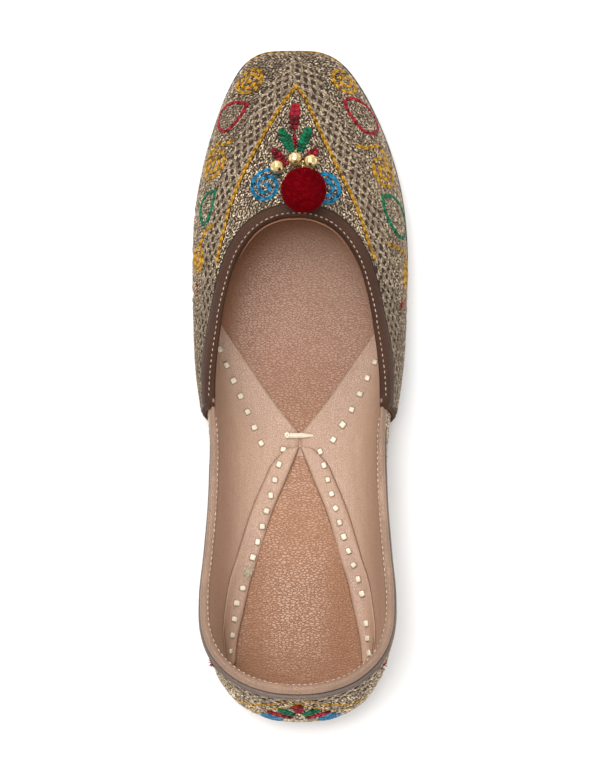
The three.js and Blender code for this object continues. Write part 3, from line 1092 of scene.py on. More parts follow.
# ---- Bindings ----
# Sections as a distance below the rim and a distance out from the wall, once round from the lower outside.
THROAT_SECTION = (
    (4.3, -0.5), (4.4, 0.1), (4.0, 0.5), (3.1, 0.62), (2.0, 0.5), (1.1, 0.4),
    (0.5, 0.5), (-0.3, 0.45), (-0.9, 0.0), (-1.25, -0.8), (-1.2, -1.7), (-0.5, -2.4),
    (0.8, -2.8), (2.6, -2.9), (4.0, -2.8), (4.4, -2.3),
)
WING_SECTION = (
    (4.7, -0.5), (4.75, 0.1), (4.4, 0.5), (3.6, 0.62), (2.6, 0.6), (1.7, 0.5),
    (1.0, 0.4), (0.4, 0.15), (0.05, -0.2), (-0.1, -0.6), (0.0, -1.0), (0.4, -1.35),
    (1.4, -1.5), (3.0, -1.5), (4.4, -1.4), (4.7, -1.2),
)
COLLAR_SECTION = (
    (2.3, -0.6), (2.45, 0.0), (2.1, 0.32), (1.3, 0.4), (0.6, 0.25), (0.1, -0.1),
    (-0.12, -0.8), (-0.1, -1.5), (0.1, -2.2), (0.6, -2.7), (1.5, -2.95), (3.0, -3.0),
    (4.6, -2.95), (5.2, -2.6), (5.2, -1.9), (3.8, -1.2),
)
ROLL_SECTION = (
    (2.7, -0.5), (2.9, 0.2), (2.5, 0.7), (1.6, 0.95), (0.6, 0.8), (-0.2, 0.3),
    (-0.65, -0.5), (-0.6, -1.3), (0.0, -2.1), (1.0, -2.6), (2.2, -2.8), (3.4, -2.8),
    (4.6, -2.8), (5.2, -2.5), (5.2, -1.9), (3.8, -1.2),
)


PIPING_RADIUS = 0.72


def wing_share(ray):
    """How far the throat binding has thinned, from the throat to the wings."""
    return ramp(5.5, 8.5, np.abs(ray))


def section_points(ray, section, turn, outer=0.0):
    """Points round a binding's section at each ray; turn counts once round it."""
    count = len(section)
    table = np.asarray(section, float)
    step = (turn * count) % count
    low = np.floor(step).astype(int)
    spot = blend(*(table[(low + k) % count] for k in (-1, 0, 1, 2)), (step - low)[..., None])
    below, out = spot[..., 0], spot[..., 1]
    up = up_at(ray, wall_length(ray) - np.clip(below, 0, None))
    out = np.where(out > -0.3, out + outer, out)
    point = wall_point(ray, np.minimum(up, 1.0), out)
    return point + np.array(UP) * np.clip(-below, 0, None)[..., None]


def collar_share(ray):
    """How far the collar's roll has thickened, from the waist to the heel."""
    return ramp(14.0, 18.6, np.abs(turned(ray)))


class MOJARI_OT_bindings(bpy.types.Operator):
    """The throat binding, the turned edges of the wings, the collar's roll, and the piping behind it"""

    bl_idname = "mojari.bindings"
    bl_label = "Bindings"

    def execute(self, context):
        tint = colour("binding")
        bronze = leather("Binding leather", tint, 1500.0, 0.14, 0.54, 0.6, 0.6, 0.2, streaks=0.3, sheen=0.18)
        grey = leather("Piping leather", colour("piping"), 1500.0, 0.08, 0.5, fold=0.5, dark=0.6, scuff=0.3)

        def throat(u, v):
            ray = (u * 2 - 1) * (WING_RAY + 0.02)
            share = wing_share(ray)[:, None]
            sections = (THROAT_SECTION, WING_SECTION)
            broad, thin = (section_points(ray, section, v, lap(ray)) for section in sections)
            return broad * (1 - share) + thin * share

        strip_piece("throat_binding_leather", 200, 32, throat, bronze, ("throat_binding",))

        def edge_cord(u, v):
            ray = (u * 2 - 1) * (WING_RAY - 0.6)
            turn = v * 2 * math.pi
            below = 4.65 + 0.3 * wing_share(ray)
            up = up_at(ray, wall_length(ray) - below + 0.4 * np.sin(turn))
            return wall_point(ray, up, lap(ray) - 0.05 + 0.4 * np.cos(turn))

        def lip(u, v):
            ray = (u * 2 - 1) * 6.2
            turn = v * 2 * math.pi
            radius = 0.24 * (1 - (u * 2 - 1) ** 4)
            inward = 1.3 - 1.2 * wing_share(ray)
            up = up_at(ray, wall_length(ray)) + 0 * v
            at = wall_point(ray, up, -1.35 + radius * np.cos(turn))
            run = wall_point(ray, up, 0) - wall_point(ray, up_at(ray, wall_length(ray) - 1.0), 0)
            return at + run * (inward + radius * np.sin(turn))[..., None]

        # The cord along the binding's lower edge is a darker copy of the binding leather: painted shade in
        # the groove there.
        dark = leather("Edge leather", shaded(tint, 0.4), 1500.0, 0.08, 0.5, scuff=0.1, sheen=0.2)
        matt = leather("Wing edge leather", shaded(tint, 1.1), 1500.0, 0.08, 0.8, scuff=0.1, sheen=0.1)
        strip_piece("throat_edge_cord", 200, 10, edge_cord, dark)
        strip_piece("throat_lip", 200, 8, lip, bpy.data.materials["Footbed leather"])
        for side, label in HANDS:

            def wing(u, v, side=side):
                # A narrow folded edge down the back of the wing, round the cloth's cut edge.
                turn = v * 2 * math.pi
                up = 0.985 * (1 - u) + 0.01
                out = 0.75 + (LAP_PROUD - 0.2) / 2 * np.sin(turn) * 1.15
                ray = side * (WING_RAY - 0.12 + 0.2 * np.cos(turn))
                return wall_point(ray, up, out)

            strip_piece(f"wing_edge_{label}", 60, 16, wing, matt)

        def collar(u, v):
            ray = WING_RAY - 0.2 + u * (ROUND - 2 * WING_RAY + 0.4)
            share = collar_share(ray)[:, None]
            clear = ramp(WING_RAY - 0.2, WING_RAY + 0.9, from_waist(ray))[:, None]
            sections = (WING_SECTION, COLLAR_SECTION, ROLL_SECTION)
            flat, thin, thick = (section_points(ray, section, v) for section in sections)
            return flat * (1 - clear) + (thin * (1 - share) + thick * share) * clear

        tint = colour("collar")
        turned_edge = leather("Collar leather", tint, 1300.0, 0.16, 0.42, 0.5, 0.7, 0.45, streaks=0.3)
        strip_piece("collar_roll", 220, 32, collar, turned_edge, ("topline_binding",))
        for name, below, reach in (("piping_upper", 3.5, 1.15), ("piping_lower", 5.0, 1.35)):

            def piping(u, v, below=below, reach=reach):
                ray = COLLAR_START + u * (ROUND - 2 * COLLAR_START)
                share = collar_share(ray)
                turn = v * 2 * math.pi
                radius = PIPING_RADIUS * (0.6 + 0.4 * share) * np.clip(np.minimum(u, 1 - u) / 0.05, 0.2, 1)
                depth = 2.4 + (below - 2.4) * (0.5 + 0.5 * share) + radius * np.sin(turn)
                up = up_at(ray, wall_length(ray) - depth)
                return wall_point(ray, up, (reach - 0.5) * share + 0.35 + radius * np.cos(turn))

            strip_piece(name, 200, 10, piping, grey)
        return {"FINISHED"}


# ---- The crossing strips, the waist stitch and the lace stitches ----
STRIP_WIDE, STRIP_NARROW = 8.4, 9.2
STRIP_RISE = 1.5
FRONT_LACES = {
    1: ((30.6, -12.4), (26.5, -3.4), (22.3, 5.7), (18.2, 14.8), (14.4, 23.6)),
    -1: ((-28.8, -7.5), (-24.1, 2.3), (-19.9, 10.7), (-13.0, 22.2)),
}
BACK_LACES = {
    1: ((5.9, 25.9), (14.0, 56.8), (20.9, 79.0), (23.2, 85.0), (25.3, 102.4)),
    -1: ((-8.0, 26.7), (-16.6, 57.3), (-24.0, 80.0), (-27.0, 103.0)),
}
LACE_COUNTS = {(1, "front"): 7, (-1, "front"): 6, (1, "back"): 14, (-1, "back"): 15}
FRAYED, LOST = 8, 11  # the left strip's worn stitch and the right strip's missing one


def strip_points(side, share, across):
    """Points on a back strip: share goes from the waist to the heel, across from inner to outer edge."""
    local = FRONT_SHARE + 0.002 + share * (0.998 - FRONT_SHARE)
    width = (STRIP_WIDE + (STRIP_NARROW - STRIP_WIDE) * ramp(0.3, 1.0, share)) * ramp(-0.12, 0.1, share)
    steps = np.linspace(1, 0.2, 50)
    rows = panel_point(side, np.repeat(local, 50), np.tile(steps, len(local)))
    rows = rows.reshape(len(local), 50, 3)
    travel = lengths(rows)
    wanted = across * width
    places = zip(wanted, travel, rows)
    return np.array([[np.interp(want, far, row[:, axis]) for axis in range(3)] for want, far, row in places])


class MOJARI_OT_strips(bpy.types.Operator):
    """The two raised strips that run back from the waist, the waist stitch and every square lace stitch"""

    bl_idname = "mojari.strips"
    bl_label = "Strips and lace stitches"

    def execute(self, context):
        nude = bpy.data.materials["Lining leather"]
        for side, label in HANDS:

            def strip(u, v, side=side):
                at = strip_points(side, u, v)
                rim = np.minimum(v, 1 - v) * STRIP_WIDE
                at[:, 2] += 0.35 + (STRIP_RISE - 0.35) * (1 - np.exp(-rim / 0.5))
                return at

            sheet_piece(f"strip_{label}", 130, 16, strip, 0.9, nude, upwards)

        def crotch(u, v):
            at = np.zeros((len(u), 3))
            at[:, 1] = 20.5 + u * 8.5
            at[:, 0] = WAIST_MIDDLE + (v * 2 - 1) * (3.4 - 1.4 * u)
            at[:, 2] = footbed_height(at[:, 1]) + 1.25 - 0.5 * u
            return at

        sheet_piece("waist_gusset", 12, 12, crotch, 0.8, nude, upwards)
        self.laces()
        return {"FINISHED"}

    def laces(self):
        chance = np.random.default_rng(7)
        tint = colour("cream")
        cream = thread("Cream lace", shaded(tint, 0.62), shaded(tint, 1.15), 0.0)
        side_length = mm("lace_stitch")
        laces, lace_slots_and_shadows = Work(), Work()
        frayed = []
        for side, label in HANDS:
            panel, strip = surface_tree(f"quarter_lining_{label}"), surface_tree(f"strip_{label}")
            for part, nodes in (("front", FRONT_LACES[side]), ("back", BACK_LACES[side])):
                curve = smooth_through([(x, y, 0.0) for x, y in nodes])
                count = LACE_COUNTS[side, part]
                flat, run = paced(curve, lengths(curve)[-1] / (count - 1))
                spots, outs = drop_on((panel, strip), flat[:, :2] - SHIFT[:2])
                keep = np.ones(count, bool)
                if part == "back":
                    keep[FRAYED if side == 1 else LOST] = False
                    if side == 1:
                        frayed = [spots[FRAYED], outs[FRAYED], run[FRAYED]]
                spots, outs, run = spots[keep], outs[keep], run[keep]
                total = len(spots)
                turned_run = tilted(run, outs, chance.normal(0.12, 0.14, total))
                sizes = side_length * sized(
                    chance.uniform(0.88, 1.12, total),
                    chance.uniform(0.82, 1.05, total),
                    chance.uniform(0.5, 0.62, total),
                )
                laces.add(spots + outs * 0.3, turned_run, outs, sizes, chance.uniform(0.45, 0.95, total))
                # Under each lace stitch is a wider dark cushion: partly the slot that the lace goes through,
                # partly painted shadow round the stitch.
                wide = sizes * (1.24, 1.2, 0.3)
                lace_slots_and_shadows.add(spots + outs * 0.02, turned_run, outs, wide, chance.uniform(0.3, 0.6, total))
        laces.make("lace_stitches", template(lace_cube()), cream, LINING_SLOT)
        tint = colour("lining")
        dark = thread("Stitch hole", shaded(tint, 0.3), shaded(tint, 0.6), 0.0, 0.3)
        lace_slots_and_shadows.make("stitch_holes", template(lace_cube()), dark, LINING_SLOT)
        self.waist_stitch(cream, chance)
        self.frayed_stitch(cream, chance, *frayed)

    @staticmethod
    def waist_stitch(cream, chance):
        """A thick bar of thread that holds the two wings together, with its knot at one end."""
        tack = Work()
        count = 16
        share = np.linspace(0, 1, count)
        for aside, high in ((-0.5, 0.3), (0.5, 0.3), (0.0, 0.7)):
            close = 1 - 0.75 * ramp(0.55, 1.0, share)
            spots = np.column_stack([3.4 - 8.9 * share, 20.5 + aside * close, 0 * share])
            spots[:, 2] = footbed_height(spots[:, 1]) + 1.9 + high * close - 0.7 * (2 * share - 1) ** 4
            alongs = unit(np.gradient(spots, axis=0)) + (0, 0.12, 0)
            ups = np.tile(UP, (count, 1))
            tack.add(spots, alongs, ups, (1.6, 0.95, 0.9), chance.uniform(0.75, 1.0, count))
        for angle in np.linspace(0, 2 * math.pi, 7, endpoint=False):
            spot = np.array([[3.9 + 0.55 * math.cos(angle), 20.4 + 0.75 * math.sin(angle), 0]])
            spot[:, 2] = footbed_height(spot[:, 1]) + 2.3
            run = np.array([[-math.sin(angle), math.cos(angle), 0.25]])
            tack.add(spot, run, ups[:1], (1.7, 1.1, 1.1), chance.uniform(0.6, 0.95, 1))
        tack.make("waist_stitch", template(grain(6, 5)), cream, LINING_SLOT)

    @staticmethod
    def frayed_stitch(cream, chance, spot, out, run):
        """Loose ends of a worn lace stitch."""
        fray = Work()
        count = 60
        across = np.cross(out, run)
        angles = chance.uniform(0, 2 * math.pi, count)
        lean = np.cos(angles)[:, None] * run + np.sin(angles)[:, None] * across
        lean = lean + chance.uniform(0.1, 0.7, (count, 1)) * out
        length = chance.uniform(1.2, 2.9, count)
        base = spot + run * chance.normal(0, 1.0, (count, 1))
        base = base + across * chance.normal(0, 0.5, (count, 1)) + out * 0.25
        side = np.cross(lean, out + chance.normal(0, 0.2, (count, 3)))
        where = base + unit(lean) * length[:, None] * 0.4
        fray.add(where, lean, side, sized(length, 0.24, 0.24), chance.uniform(0.6, 1.0, count))
        fray.make("frayed_stitch", template(grain(3, 4)), cream, LINING_SLOT)


# ---- Machine stitches ----
class MOJARI_OT_seams(bpy.types.Operator):
    """The machine stitches along the throat binding and the collar's turned lining"""

    bl_idname = "mojari.seams"
    bl_label = "Machine seams"

    def execute(self, context):
        chance = np.random.default_rng(11)
        pale = thread("Seam thread", (0.30, 0.20, 0.15), (0.66, 0.52, 0.42), 0.0)
        throat, collar = Work(), Work()
        shape = template(grain(5, 4))
        binding = surface_tree("throat_binding_leather")
        rays = np.linspace(-10.6, 10.6, 500)
        below = 0.35 + 0.1 * wing_share(rays)
        out = 0.6 + lap(rays) - 0.75 * wing_share(rays) * lap(rays)
        self.row(throat, binding, wall_point(rays, up_at(rays, wall_length(rays) - below), out), chance)
        throat.make("throat_seam", shape, pale, BINDING_SLOT)
        roll = surface_tree("collar_roll")
        rays = np.linspace(11.2, ROUND - 11.2, 700)
        self.row(collar, roll, wall_point(rays, up_at(rays, wall_length(rays) + 0.2), -WALL - 0.15), chance)
        collar.make("collar_seam", shape, pale, LINING_SLOT)
        return {"FINISHED"}

    @staticmethod
    def row(work, tree, curve, chance):
        spots, run = paced(curve, mm("dash_pitch"))
        spots, outs = settle(tree, spots)
        count = len(spots)
        sizes = sized(mm("dash") * chance.uniform(0.85, 1.1, count), 0.38, 0.4)
        run = tilted(run, outs, chance.normal(0, 0.06, count))
        work.add(spots + outs * 0.06, run, outs, sizes, chance.uniform(0.3, 0.9, count))


# ---- Metallic ground and open lattice ----
CORD_CLEAR = 0.95  # mm kept clear of the chevron's cord
LATTICE_SLOPE = 0.62  # how far a lattice thread goes across the band for each mm along it
STRANDS = (-0.72, 0.0, 0.72)  # the threads of one lattice bar, in mm from its middle


class MOJARI_OT_ground(bpy.types.Operator):
    """The metallic ground embroidery: dense rows in the chevron, open lattice beside it, fine rows beyond"""

    bl_idname = "mojari.ground"
    bl_label = "Metallic ground"

    def execute(self, context):
        chance = np.random.default_rng(3)
        zari = thread("Zari thread", colour("zari_dark"), colour("zari_light"), 0.55)
        tree = surface_tree("vamp_cloth")
        legs = {side: Leg(side, tree) for side in SIDES}
        rim = cloth_point(np.linspace(-WING_RAY, WING_RAY, 260), 1.0)
        band = mm("lattice_width")
        chevron, outer, lattice, quarter, open_work = (Work() for _ in range(5))
        for side in SIDES:
            self.chevron_rows(chevron, legs[side], tree, rim, chance)
            self.lattice_band(lattice, legs[side], tree, rim, band, chance)
        self.level_rows(outer, legs, band, chance)
        self.quarter_rows(quarter, chance)
        self.collar_lattice(open_work, chance)
        small, link = template(grain(4, 3)), template(grain(5, 4))
        chevron.make("zari_chevron", small, zari)
        outer.make("zari_vamp", small, zari)
        quarter.make("zari_quarters", small, zari)
        lattice.make("zari_lattice", link, zari)
        open_work.make("zari_collar_lattice", link, zari)
        return {"FINISHED"}

    @staticmethod
    def stitch(work, points, outs, alongs, chance, size=1.0, lift=0.12, wander=0.52, shine=1.0):
        count = len(points)
        if not count:
            return
        alongs = unit(alongs)
        aside = np.cross(outs, alongs) * chance.normal(0, 0.32 * wander, count)[:, None]
        points = points + aside + alongs * chance.normal(0, 0.3 * wander, count)[:, None]
        alongs = tilted(alongs, outs, chance.normal(0, wander, count))
        sizes = sized(
            mm("zari_length") * size * chance.uniform(0.8, 1.15, count),
            mm("zari_width") * size * chance.uniform(0.8, 1.15, count),
            mm("zari_width") * size * chance.uniform(0.6, 0.85, count),
        )
        rise = outs * (lift + chance.uniform(-0.06, 0.12, count))[:, None]
        work.add(points + rise, alongs, outs, sizes, glitter(chance, count) * shine)

    def chevron_rows(self, work, leg, tree, rim, chance):
        pitch = mm("zari_length") * 0.82
        for offset in np.arange(-CORD_CLEAR - 0.2, -42, -mm("zari_row")):
            travel = np.arange(0, leg.travel[-1], pitch) + chance.uniform(0, pitch)
            points, outs = settle(tree, leg.place(travel, np.full(len(travel), offset)))
            keep = own_side(points, leg.side) & (from_curve(points, rim) > BINDING_WIDTH - 0.2)
            keep &= leg.offset(points) < -CORD_CLEAR
            alongs = np.gradient(points, axis=0) if len(points) > 1 else np.tile(leg.along[0], (1, 1))
            self.stitch(work, points[keep], outs[keep], alongs[keep], chance)

    @staticmethod
    def bars(firsts, travel, low, high, line):
        """The threads of an open lattice, as distances along it and across it: its bars, then its edges."""
        for across in (low + travel * LATTICE_SLOPE, high - travel * LATTICE_SLOPE):
            for first in firsts:
                for strand in STRANDS:
                    yield first + strand + travel, across
        for edge in (low, high):
            yield line, np.full(len(line), edge)

    def lattice_band(self, work, leg, tree, rim, band, chance):
        reach = band / LATTICE_SLOPE
        start, stop = -TOE_RUN, leg.travel[-1]
        firsts = np.arange(start - reach, stop + reach, mm("lattice_cell"))
        line = np.arange(start, stop, 0.5)
        for travel, across in self.bars(firsts, np.linspace(0, reach, 60), CORD_CLEAR, band, line):
            inside = (travel > start) & (travel < stop)
            if inside.sum() < 4:
                continue
            curve, _ = settle(tree, leg.place(travel[inside], across[inside]))
            if lengths(curve)[-1] < 2.5:
                continue
            points, alongs = paced(curve, 1.3)
            points, outs = settle(tree, points)
            keep = own_side(points, leg.side) & (from_curve(points, rim) > BINDING_WIDTH - 0.2)
            keep &= points[:, 2] > sole_top(points[:, 1]) + 1.4
            # The lattice's stitches are darker overall, and get painted shade on the wings.
            painted_shade = 0.47 * painted_wing_shade(points[keep])
            self.stitch(work, points[keep], outs[keep], alongs[keep], chance, 0.94, 0.2, 0.4, painted_shade)

    def level_rows(self, work, legs, band, chance):
        rays = np.linspace(-WING_RAY + 0.12, WING_RAY - 0.12, 900)
        pitch = mm("zari_length") * 0.82
        for height in np.arange(1.4, 70, mm("zari_row")):
            inside = height < wall_length(rays) - BINDING_WIDTH
            if inside.sum() < 8:
                continue
            curve = on_cloth(np.column_stack([rays, np.full(len(rays), height)]))
            points, alongs = paced(curve, pitch, chance.uniform(0, pitch))
            at_ray = np.interp(lengths(points), lengths(curve), rays)
            outs = wall_normal(at_ray, up_at(at_ray, height))
            keep = height < wall_length(at_ray) - BINDING_WIDTH
            offset = np.where(own_side(points, 1), legs[1].offset(points), legs[-1].offset(points))
            keep &= offset > band + 1.1
            # These rows' stitches are darker overall, and get painted shade on the wings.
            painted_shade = 0.6 * painted_wing_shade(points[keep])
            self.stitch(work, points[keep], outs[keep], alongs[keep], chance, 0.95, shine=painted_shade)

    def quarter_rows(self, work, chance):
        rays = np.linspace(10.2, ROUND - 10.2, 900)
        pitch = mm("zari_length") * 0.82
        for height in np.arange(1.4, 48, mm("zari_row")):
            curve = quarter_point(rays, height)
            points, alongs = paced(curve, pitch, chance.uniform(0, pitch))
            at_ray = np.interp(lengths(points), lengths(curve), rays)
            outs = wall_normal(at_ray, up_at(at_ray, height))
            below = wall_length(at_ray) - height
            in_lattice = (below < COLLAR_BAND + COLLAR_CLEAR + 0.3) & (from_waist(at_ray) > 11.5)
            chevron = heel_chevron_below(at_ray)
            keep = (below > 3.0) & (~in_lattice | (below > chevron))
            self.stitch(work, points[keep], outs[keep], alongs[keep], chance, 0.97, shine=0.88)

    def collar_lattice(self, work, chance):
        rays = np.linspace(COLLAR_START, ROUND - COLLAR_START, 1600)
        top = quarter_point(rays, wall_length(rays) - COLLAR_CLEAR)
        travel = lengths(top)
        total = travel[-1]
        reach = COLLAR_BAND / LATTICE_SLOPE
        firsts, line = np.arange(-reach, total, mm("lattice_cell")), np.arange(0, total, 0.6)
        edges = COLLAR_CLEAR, COLLAR_CLEAR + COLLAR_BAND
        for run, below in self.bars(firsts, np.linspace(0, reach, 50), *edges, line):
            inside = (run > 0) & (run < total)
            if inside.sum() < 4:
                continue
            ray = np.interp(run[inside], travel, rays)
            curve = quarter_point(ray, wall_length(ray) - below[inside])
            if lengths(curve)[-1] < 2.5:
                continue
            points, alongs = paced(curve, 1.35)
            shares = np.linspace(0, 1, len(points)), np.linspace(0, 1, len(ray))
            at_ray, depth = (np.interp(*shares, values) for values in (ray, below[inside]))
            outs = wall_normal(at_ray, up_at(at_ray, wall_length(at_ray) - depth))
            keep = depth < heel_chevron_below(at_ray)
            self.stitch(work, points[keep], outs[keep], alongs[keep], chance, 0.94, 0.2, 0.36, 0.56)


def painted_wing_shade(points):
    """How much of its brightness the thread keeps: the stitches on the wings, back from the toe, get painted
    shade.
    """
    return 1 - 0.42 * ramp(-44.0, -18.0, points[:, 1])


COLLAR_CLEAR, COLLAR_BAND = 6.6, 7.5
HEEL_APEX, HEEL_FOOT, HEEL_RAYS = 8.0, 26.0, 2.2


def heel_chevron_below(ray):
    """How far below the rim the heel's chevron runs at each ray; far below where there is none."""
    away = np.abs(np.asarray(ray) - LAST_RAY)
    return np.where(away < HEEL_RAYS, HEEL_APEX + (HEEL_FOOT - HEEL_APEX) * away / HEEL_RAYS, 99.0)


def from_waist(ray):
    """A ray that counts on past the heel, as the lesser count from either side's waist."""
    return np.minimum(ray, ROUND - ray)


def quarter_cloth(ray, up):
    """A point on the quarter's cloth, at a ray that counts on past the heel; it creases behind the waist."""
    bare = form_point(ray, up)
    away = np.clip((from_waist(ray) - 10.4) / 2, 0, 1)
    return bare + wall_normal(ray, up) * (-CLOTH_SINK + creases(bare) * away)[..., None]


def quarter_point(ray, height):
    """The same, at a height in mm above the sole."""
    ray, height = np.broadcast_arrays(np.asarray(ray, float), np.asarray(height, float))
    return quarter_cloth(ray, up_at(ray, height))


# ---- Coloured motifs ----
# Scrolls: thread, middle as a ray and a height, radius in mm, turns, end angle, hand, and tail.
SCROLLS = (
    ("mustard", (1.7, 14.4), 5.7, 2.3, 5, 1, ()),
    ("mustard", (-2.06, 11.7), 5.8, 1.9, 172, -1, ()),
    ("mustard", (4.27, 26.8), 6.3, 2.1, 30, 1, ((3.95, 22.0), (3.45, 28.8), (3.05, 31.8))),
    ("mustard", (-4.6, 25.9), 6.6, 2.0, 140, -1, ((-4.1, 21.2), (-3.5, 30.2), (-3.05, 34.4))),
    ("mustard", (7.0, 25.4), 5.0, 2.1, 30, 1, ((6.6, 27.2), (6.2, 31.4), (5.85, 34.4), (5.65, 37.4))),
    ("mustard", (-7.62, 13.6), 5.3, 2.0, 140, -1, ((-7.05, 18.6), (-6.65, 27.6), (-6.35, 33.9))),
    ("blue", (1.86, 62.8), 6.1, 2.1, 135, 1, ()),
    ("blue", (-1.8, 64.2), 6.1, 2.1, 45, -1, ()),
)
SCROLL_TALL = 1.16  # how much longer a scroll is along the shoe than across it
# Drops: thread, and its outline from the tip as rays and heights.
DROPS = (
    ("red", (
        (2.0, 24.5), (2.4, 19.9), (2.8, 15.9), (3.2, 12.4), (3.55, 10.6), (3.72, 12.6), (3.68, 17.0),
        (3.52, 21.0), (3.3, 24.0), (3.0, 25.8), (2.7, 26.4), (2.4, 26.2),
    )),
    ("red", (
        (-2.15, 21.8), (-2.5, 17.0), (-2.9, 13.8), (-3.35, 10.6), (-3.75, 8.6), (-4.0, 9.8),
        (-3.98, 13.6), (-3.75, 19.1), (-3.45, 23.3), (-3.15, 25.7), (-2.85, 26.3), (-2.5, 25.6),
        (-2.25, 24.0),
    )),
    ("green", (
        (4.7, 35.4), (5.0, 30.3), (5.35, 26.0), (5.65, 23.6), (5.85, 24.0), (5.95, 26.5), (5.93, 29.4),
        (5.8, 31.7), (5.55, 33.6), (5.2, 35.0),
    )),
    ("green", (
        (-5.0, 33.2), (-5.4, 24.9), (-5.95, 17.0), (-6.4, 11.8), (-6.68, 12.0), (-6.7, 18.3),
        (-6.4, 25.6), (-5.9, 30.8), (-5.4, 33.4),
    )),
)
# Leaves: thread, base and tip as a ray and a height, width in mm, and the number of stitch pairs.
LEAVES = (
    ("red", (0.1, 42.0), (-0.05, 30.2), 3.8, 6),
    ("red", (0.0, 49.5), (0.08, 43.6), 1.5, 4),
    ("green", (0.2, 51.7), (0.66, 41.6), 3.7, 9),
    ("green", (-0.2, 51.6), (-0.62, 40.9), 3.5, 7),
    ("red", (0.5, 57.9), (1.12, 49.4), 3.2, 6),
    ("red", (-0.5, 56.0), (-0.98, 49.4), 3.2, 5),
)
TUFTS = ((7.85, 22.5), (-8.3, 20.5), (16.9, 26.0), (-16.9, 26.0))


def links_along(work, curve, tree, chance, width):
    """Chain stitch along a curve: links laid end to end, by turns with painted highlight and painted shade.
    """
    pitch = width * 1.08
    points, alongs = paced(curve, pitch)
    points, outs = settle(tree, points)
    count = len(points)
    alongs = tilted(alongs, outs, chance.normal(0, 0.07, count))
    sizes = sized(
        pitch * 1.3 * chance.uniform(0.94, 1.08, count),
        width * chance.uniform(0.9, 1.08, count),
        width * 0.62 * chance.uniform(0.88, 1.1, count),
    )
    # Alternate links get painted highlight, then painted shade.
    shades = np.where(np.arange(count) % 2 == 0, 0.9, 0.26) + chance.normal(0, 0.16, count)
    work.add(points + outs * (width * 0.3), alongs, outs, sizes, np.clip(shades, 0.02, 1.0))


def coil(spot, across, up, angle, reach, tall=1.0):
    """A spiral about a spot, from angles in radians and distances in mm."""
    level, rise = np.cos(angle)[:, None] * across, np.sin(angle)[:, None] * up
    return spot + reach[:, None] * (level + rise * tall)


def scroll_curve(tree, middle, radius, turns, end, hand, tail):
    """A spiral from its eye outwards that ends at an angle, 0 towards +X and 90 towards the toe."""
    spots, outs = settle(tree, on_cloth([middle]))
    spot, out = spots[0], outs[0]
    toe = np.array((0.0, -1.0, 0.0))
    toe = unit(toe - out * np.dot(toe, out))
    across = np.cross(out, toe)
    if across[0] < 0:
        across = -across
    share = np.linspace(0, 1, 110)
    angle = math.radians(end) - hand * (1 - share) * turns * 2 * math.pi
    curve = coil(spot, across, toe, angle, 0.7 + (radius - 0.7) * share**0.85, SCROLL_TALL)
    if tail:
        lead = smooth_through(np.concatenate([curve[[-22, -15, -8, -2]], on_cloth(tail)]))
        curve = np.concatenate([curve[:-22], lead])
    return curve


def leaf_stitches(work, tree, base, tip, width, pairs, chance):
    """A leaf in fishbone stitch: pairs of plump stitches that meet along its middle."""
    share = (np.arange(pairs) + 0.5) / pairs
    spots, outs = settle(tree, base + (tip - base) * share[:, None])
    along = np.tile(unit(tip - base), (pairs, 1))
    across = np.cross(outs, along)
    half = width / 2 * (np.sin(np.pi * (0.14 + 0.74 * share)) ** 0.8)
    for side in SIDES:
        run = unit(across * side + along * 0.55)
        length = half * 1.45
        sizes = sized(length, np.linalg.norm(tip - base) / pairs * 1.12, 1.15)
        where = spots + run * (length * 0.42)[:, None] + outs * 0.45
        work.add(where, run, outs, sizes, chance.uniform(0.0, 0.8, pairs))


def make_silks(prefix, works, shape):
    """One piece for each colour of thread."""
    for name, work in works.items():
        work.make(f"{prefix}_{name}", shape, silk(name))


class MOJARI_OT_motifs(bpy.types.Operator):
    """The vamp's motifs in chain stitch: chevron, scrolls, drops, leaves and the cord round the toe"""

    bl_idname = "mojari.motifs"
    bl_label = "Vamp motifs"

    def execute(self, context):
        chance = np.random.default_rng(5)
        tree = surface_tree("vamp_cloth")
        width = mm("chain_width")
        works = {name: Work() for name in ("mustard", "red", "green", "blue")}
        plump = {name: Work() for name in ("red", "green")}
        for side in SIDES:
            leg = smooth_through(on_cloth(CHEVRON_LEGS[side]))
            links_along(works["mustard"], leg, tree, chance, width * 0.9)
        toe = on_cloth([(ray, 1.6) for ray in np.linspace(-1.9, 1.9, 60)])
        links_along(works["mustard"], toe, tree, chance, width)
        for name, middle, radius, turns, end, hand, tail in SCROLLS:
            curve = scroll_curve(tree, middle, radius, turns, end, hand, tail)
            links_along(works[name], curve, tree, chance, width * (1.12 if name == "blue" else 1.0))
        for name, nodes in DROPS:
            drop = smooth_through(on_cloth((*nodes, nodes[0])))
            links_along(works[name], drop, tree, chance, width * 0.96)
        for name, base, tip, wide, pairs in LEAVES:
            leaf_stitches(plump[name], tree, *on_cloth([base, tip]), wide, pairs, chance)
        make_silks("chain", works, template(chain_link()))
        make_silks("leaves", plump, template(grain(7, 6)))
        return {"FINISHED"}


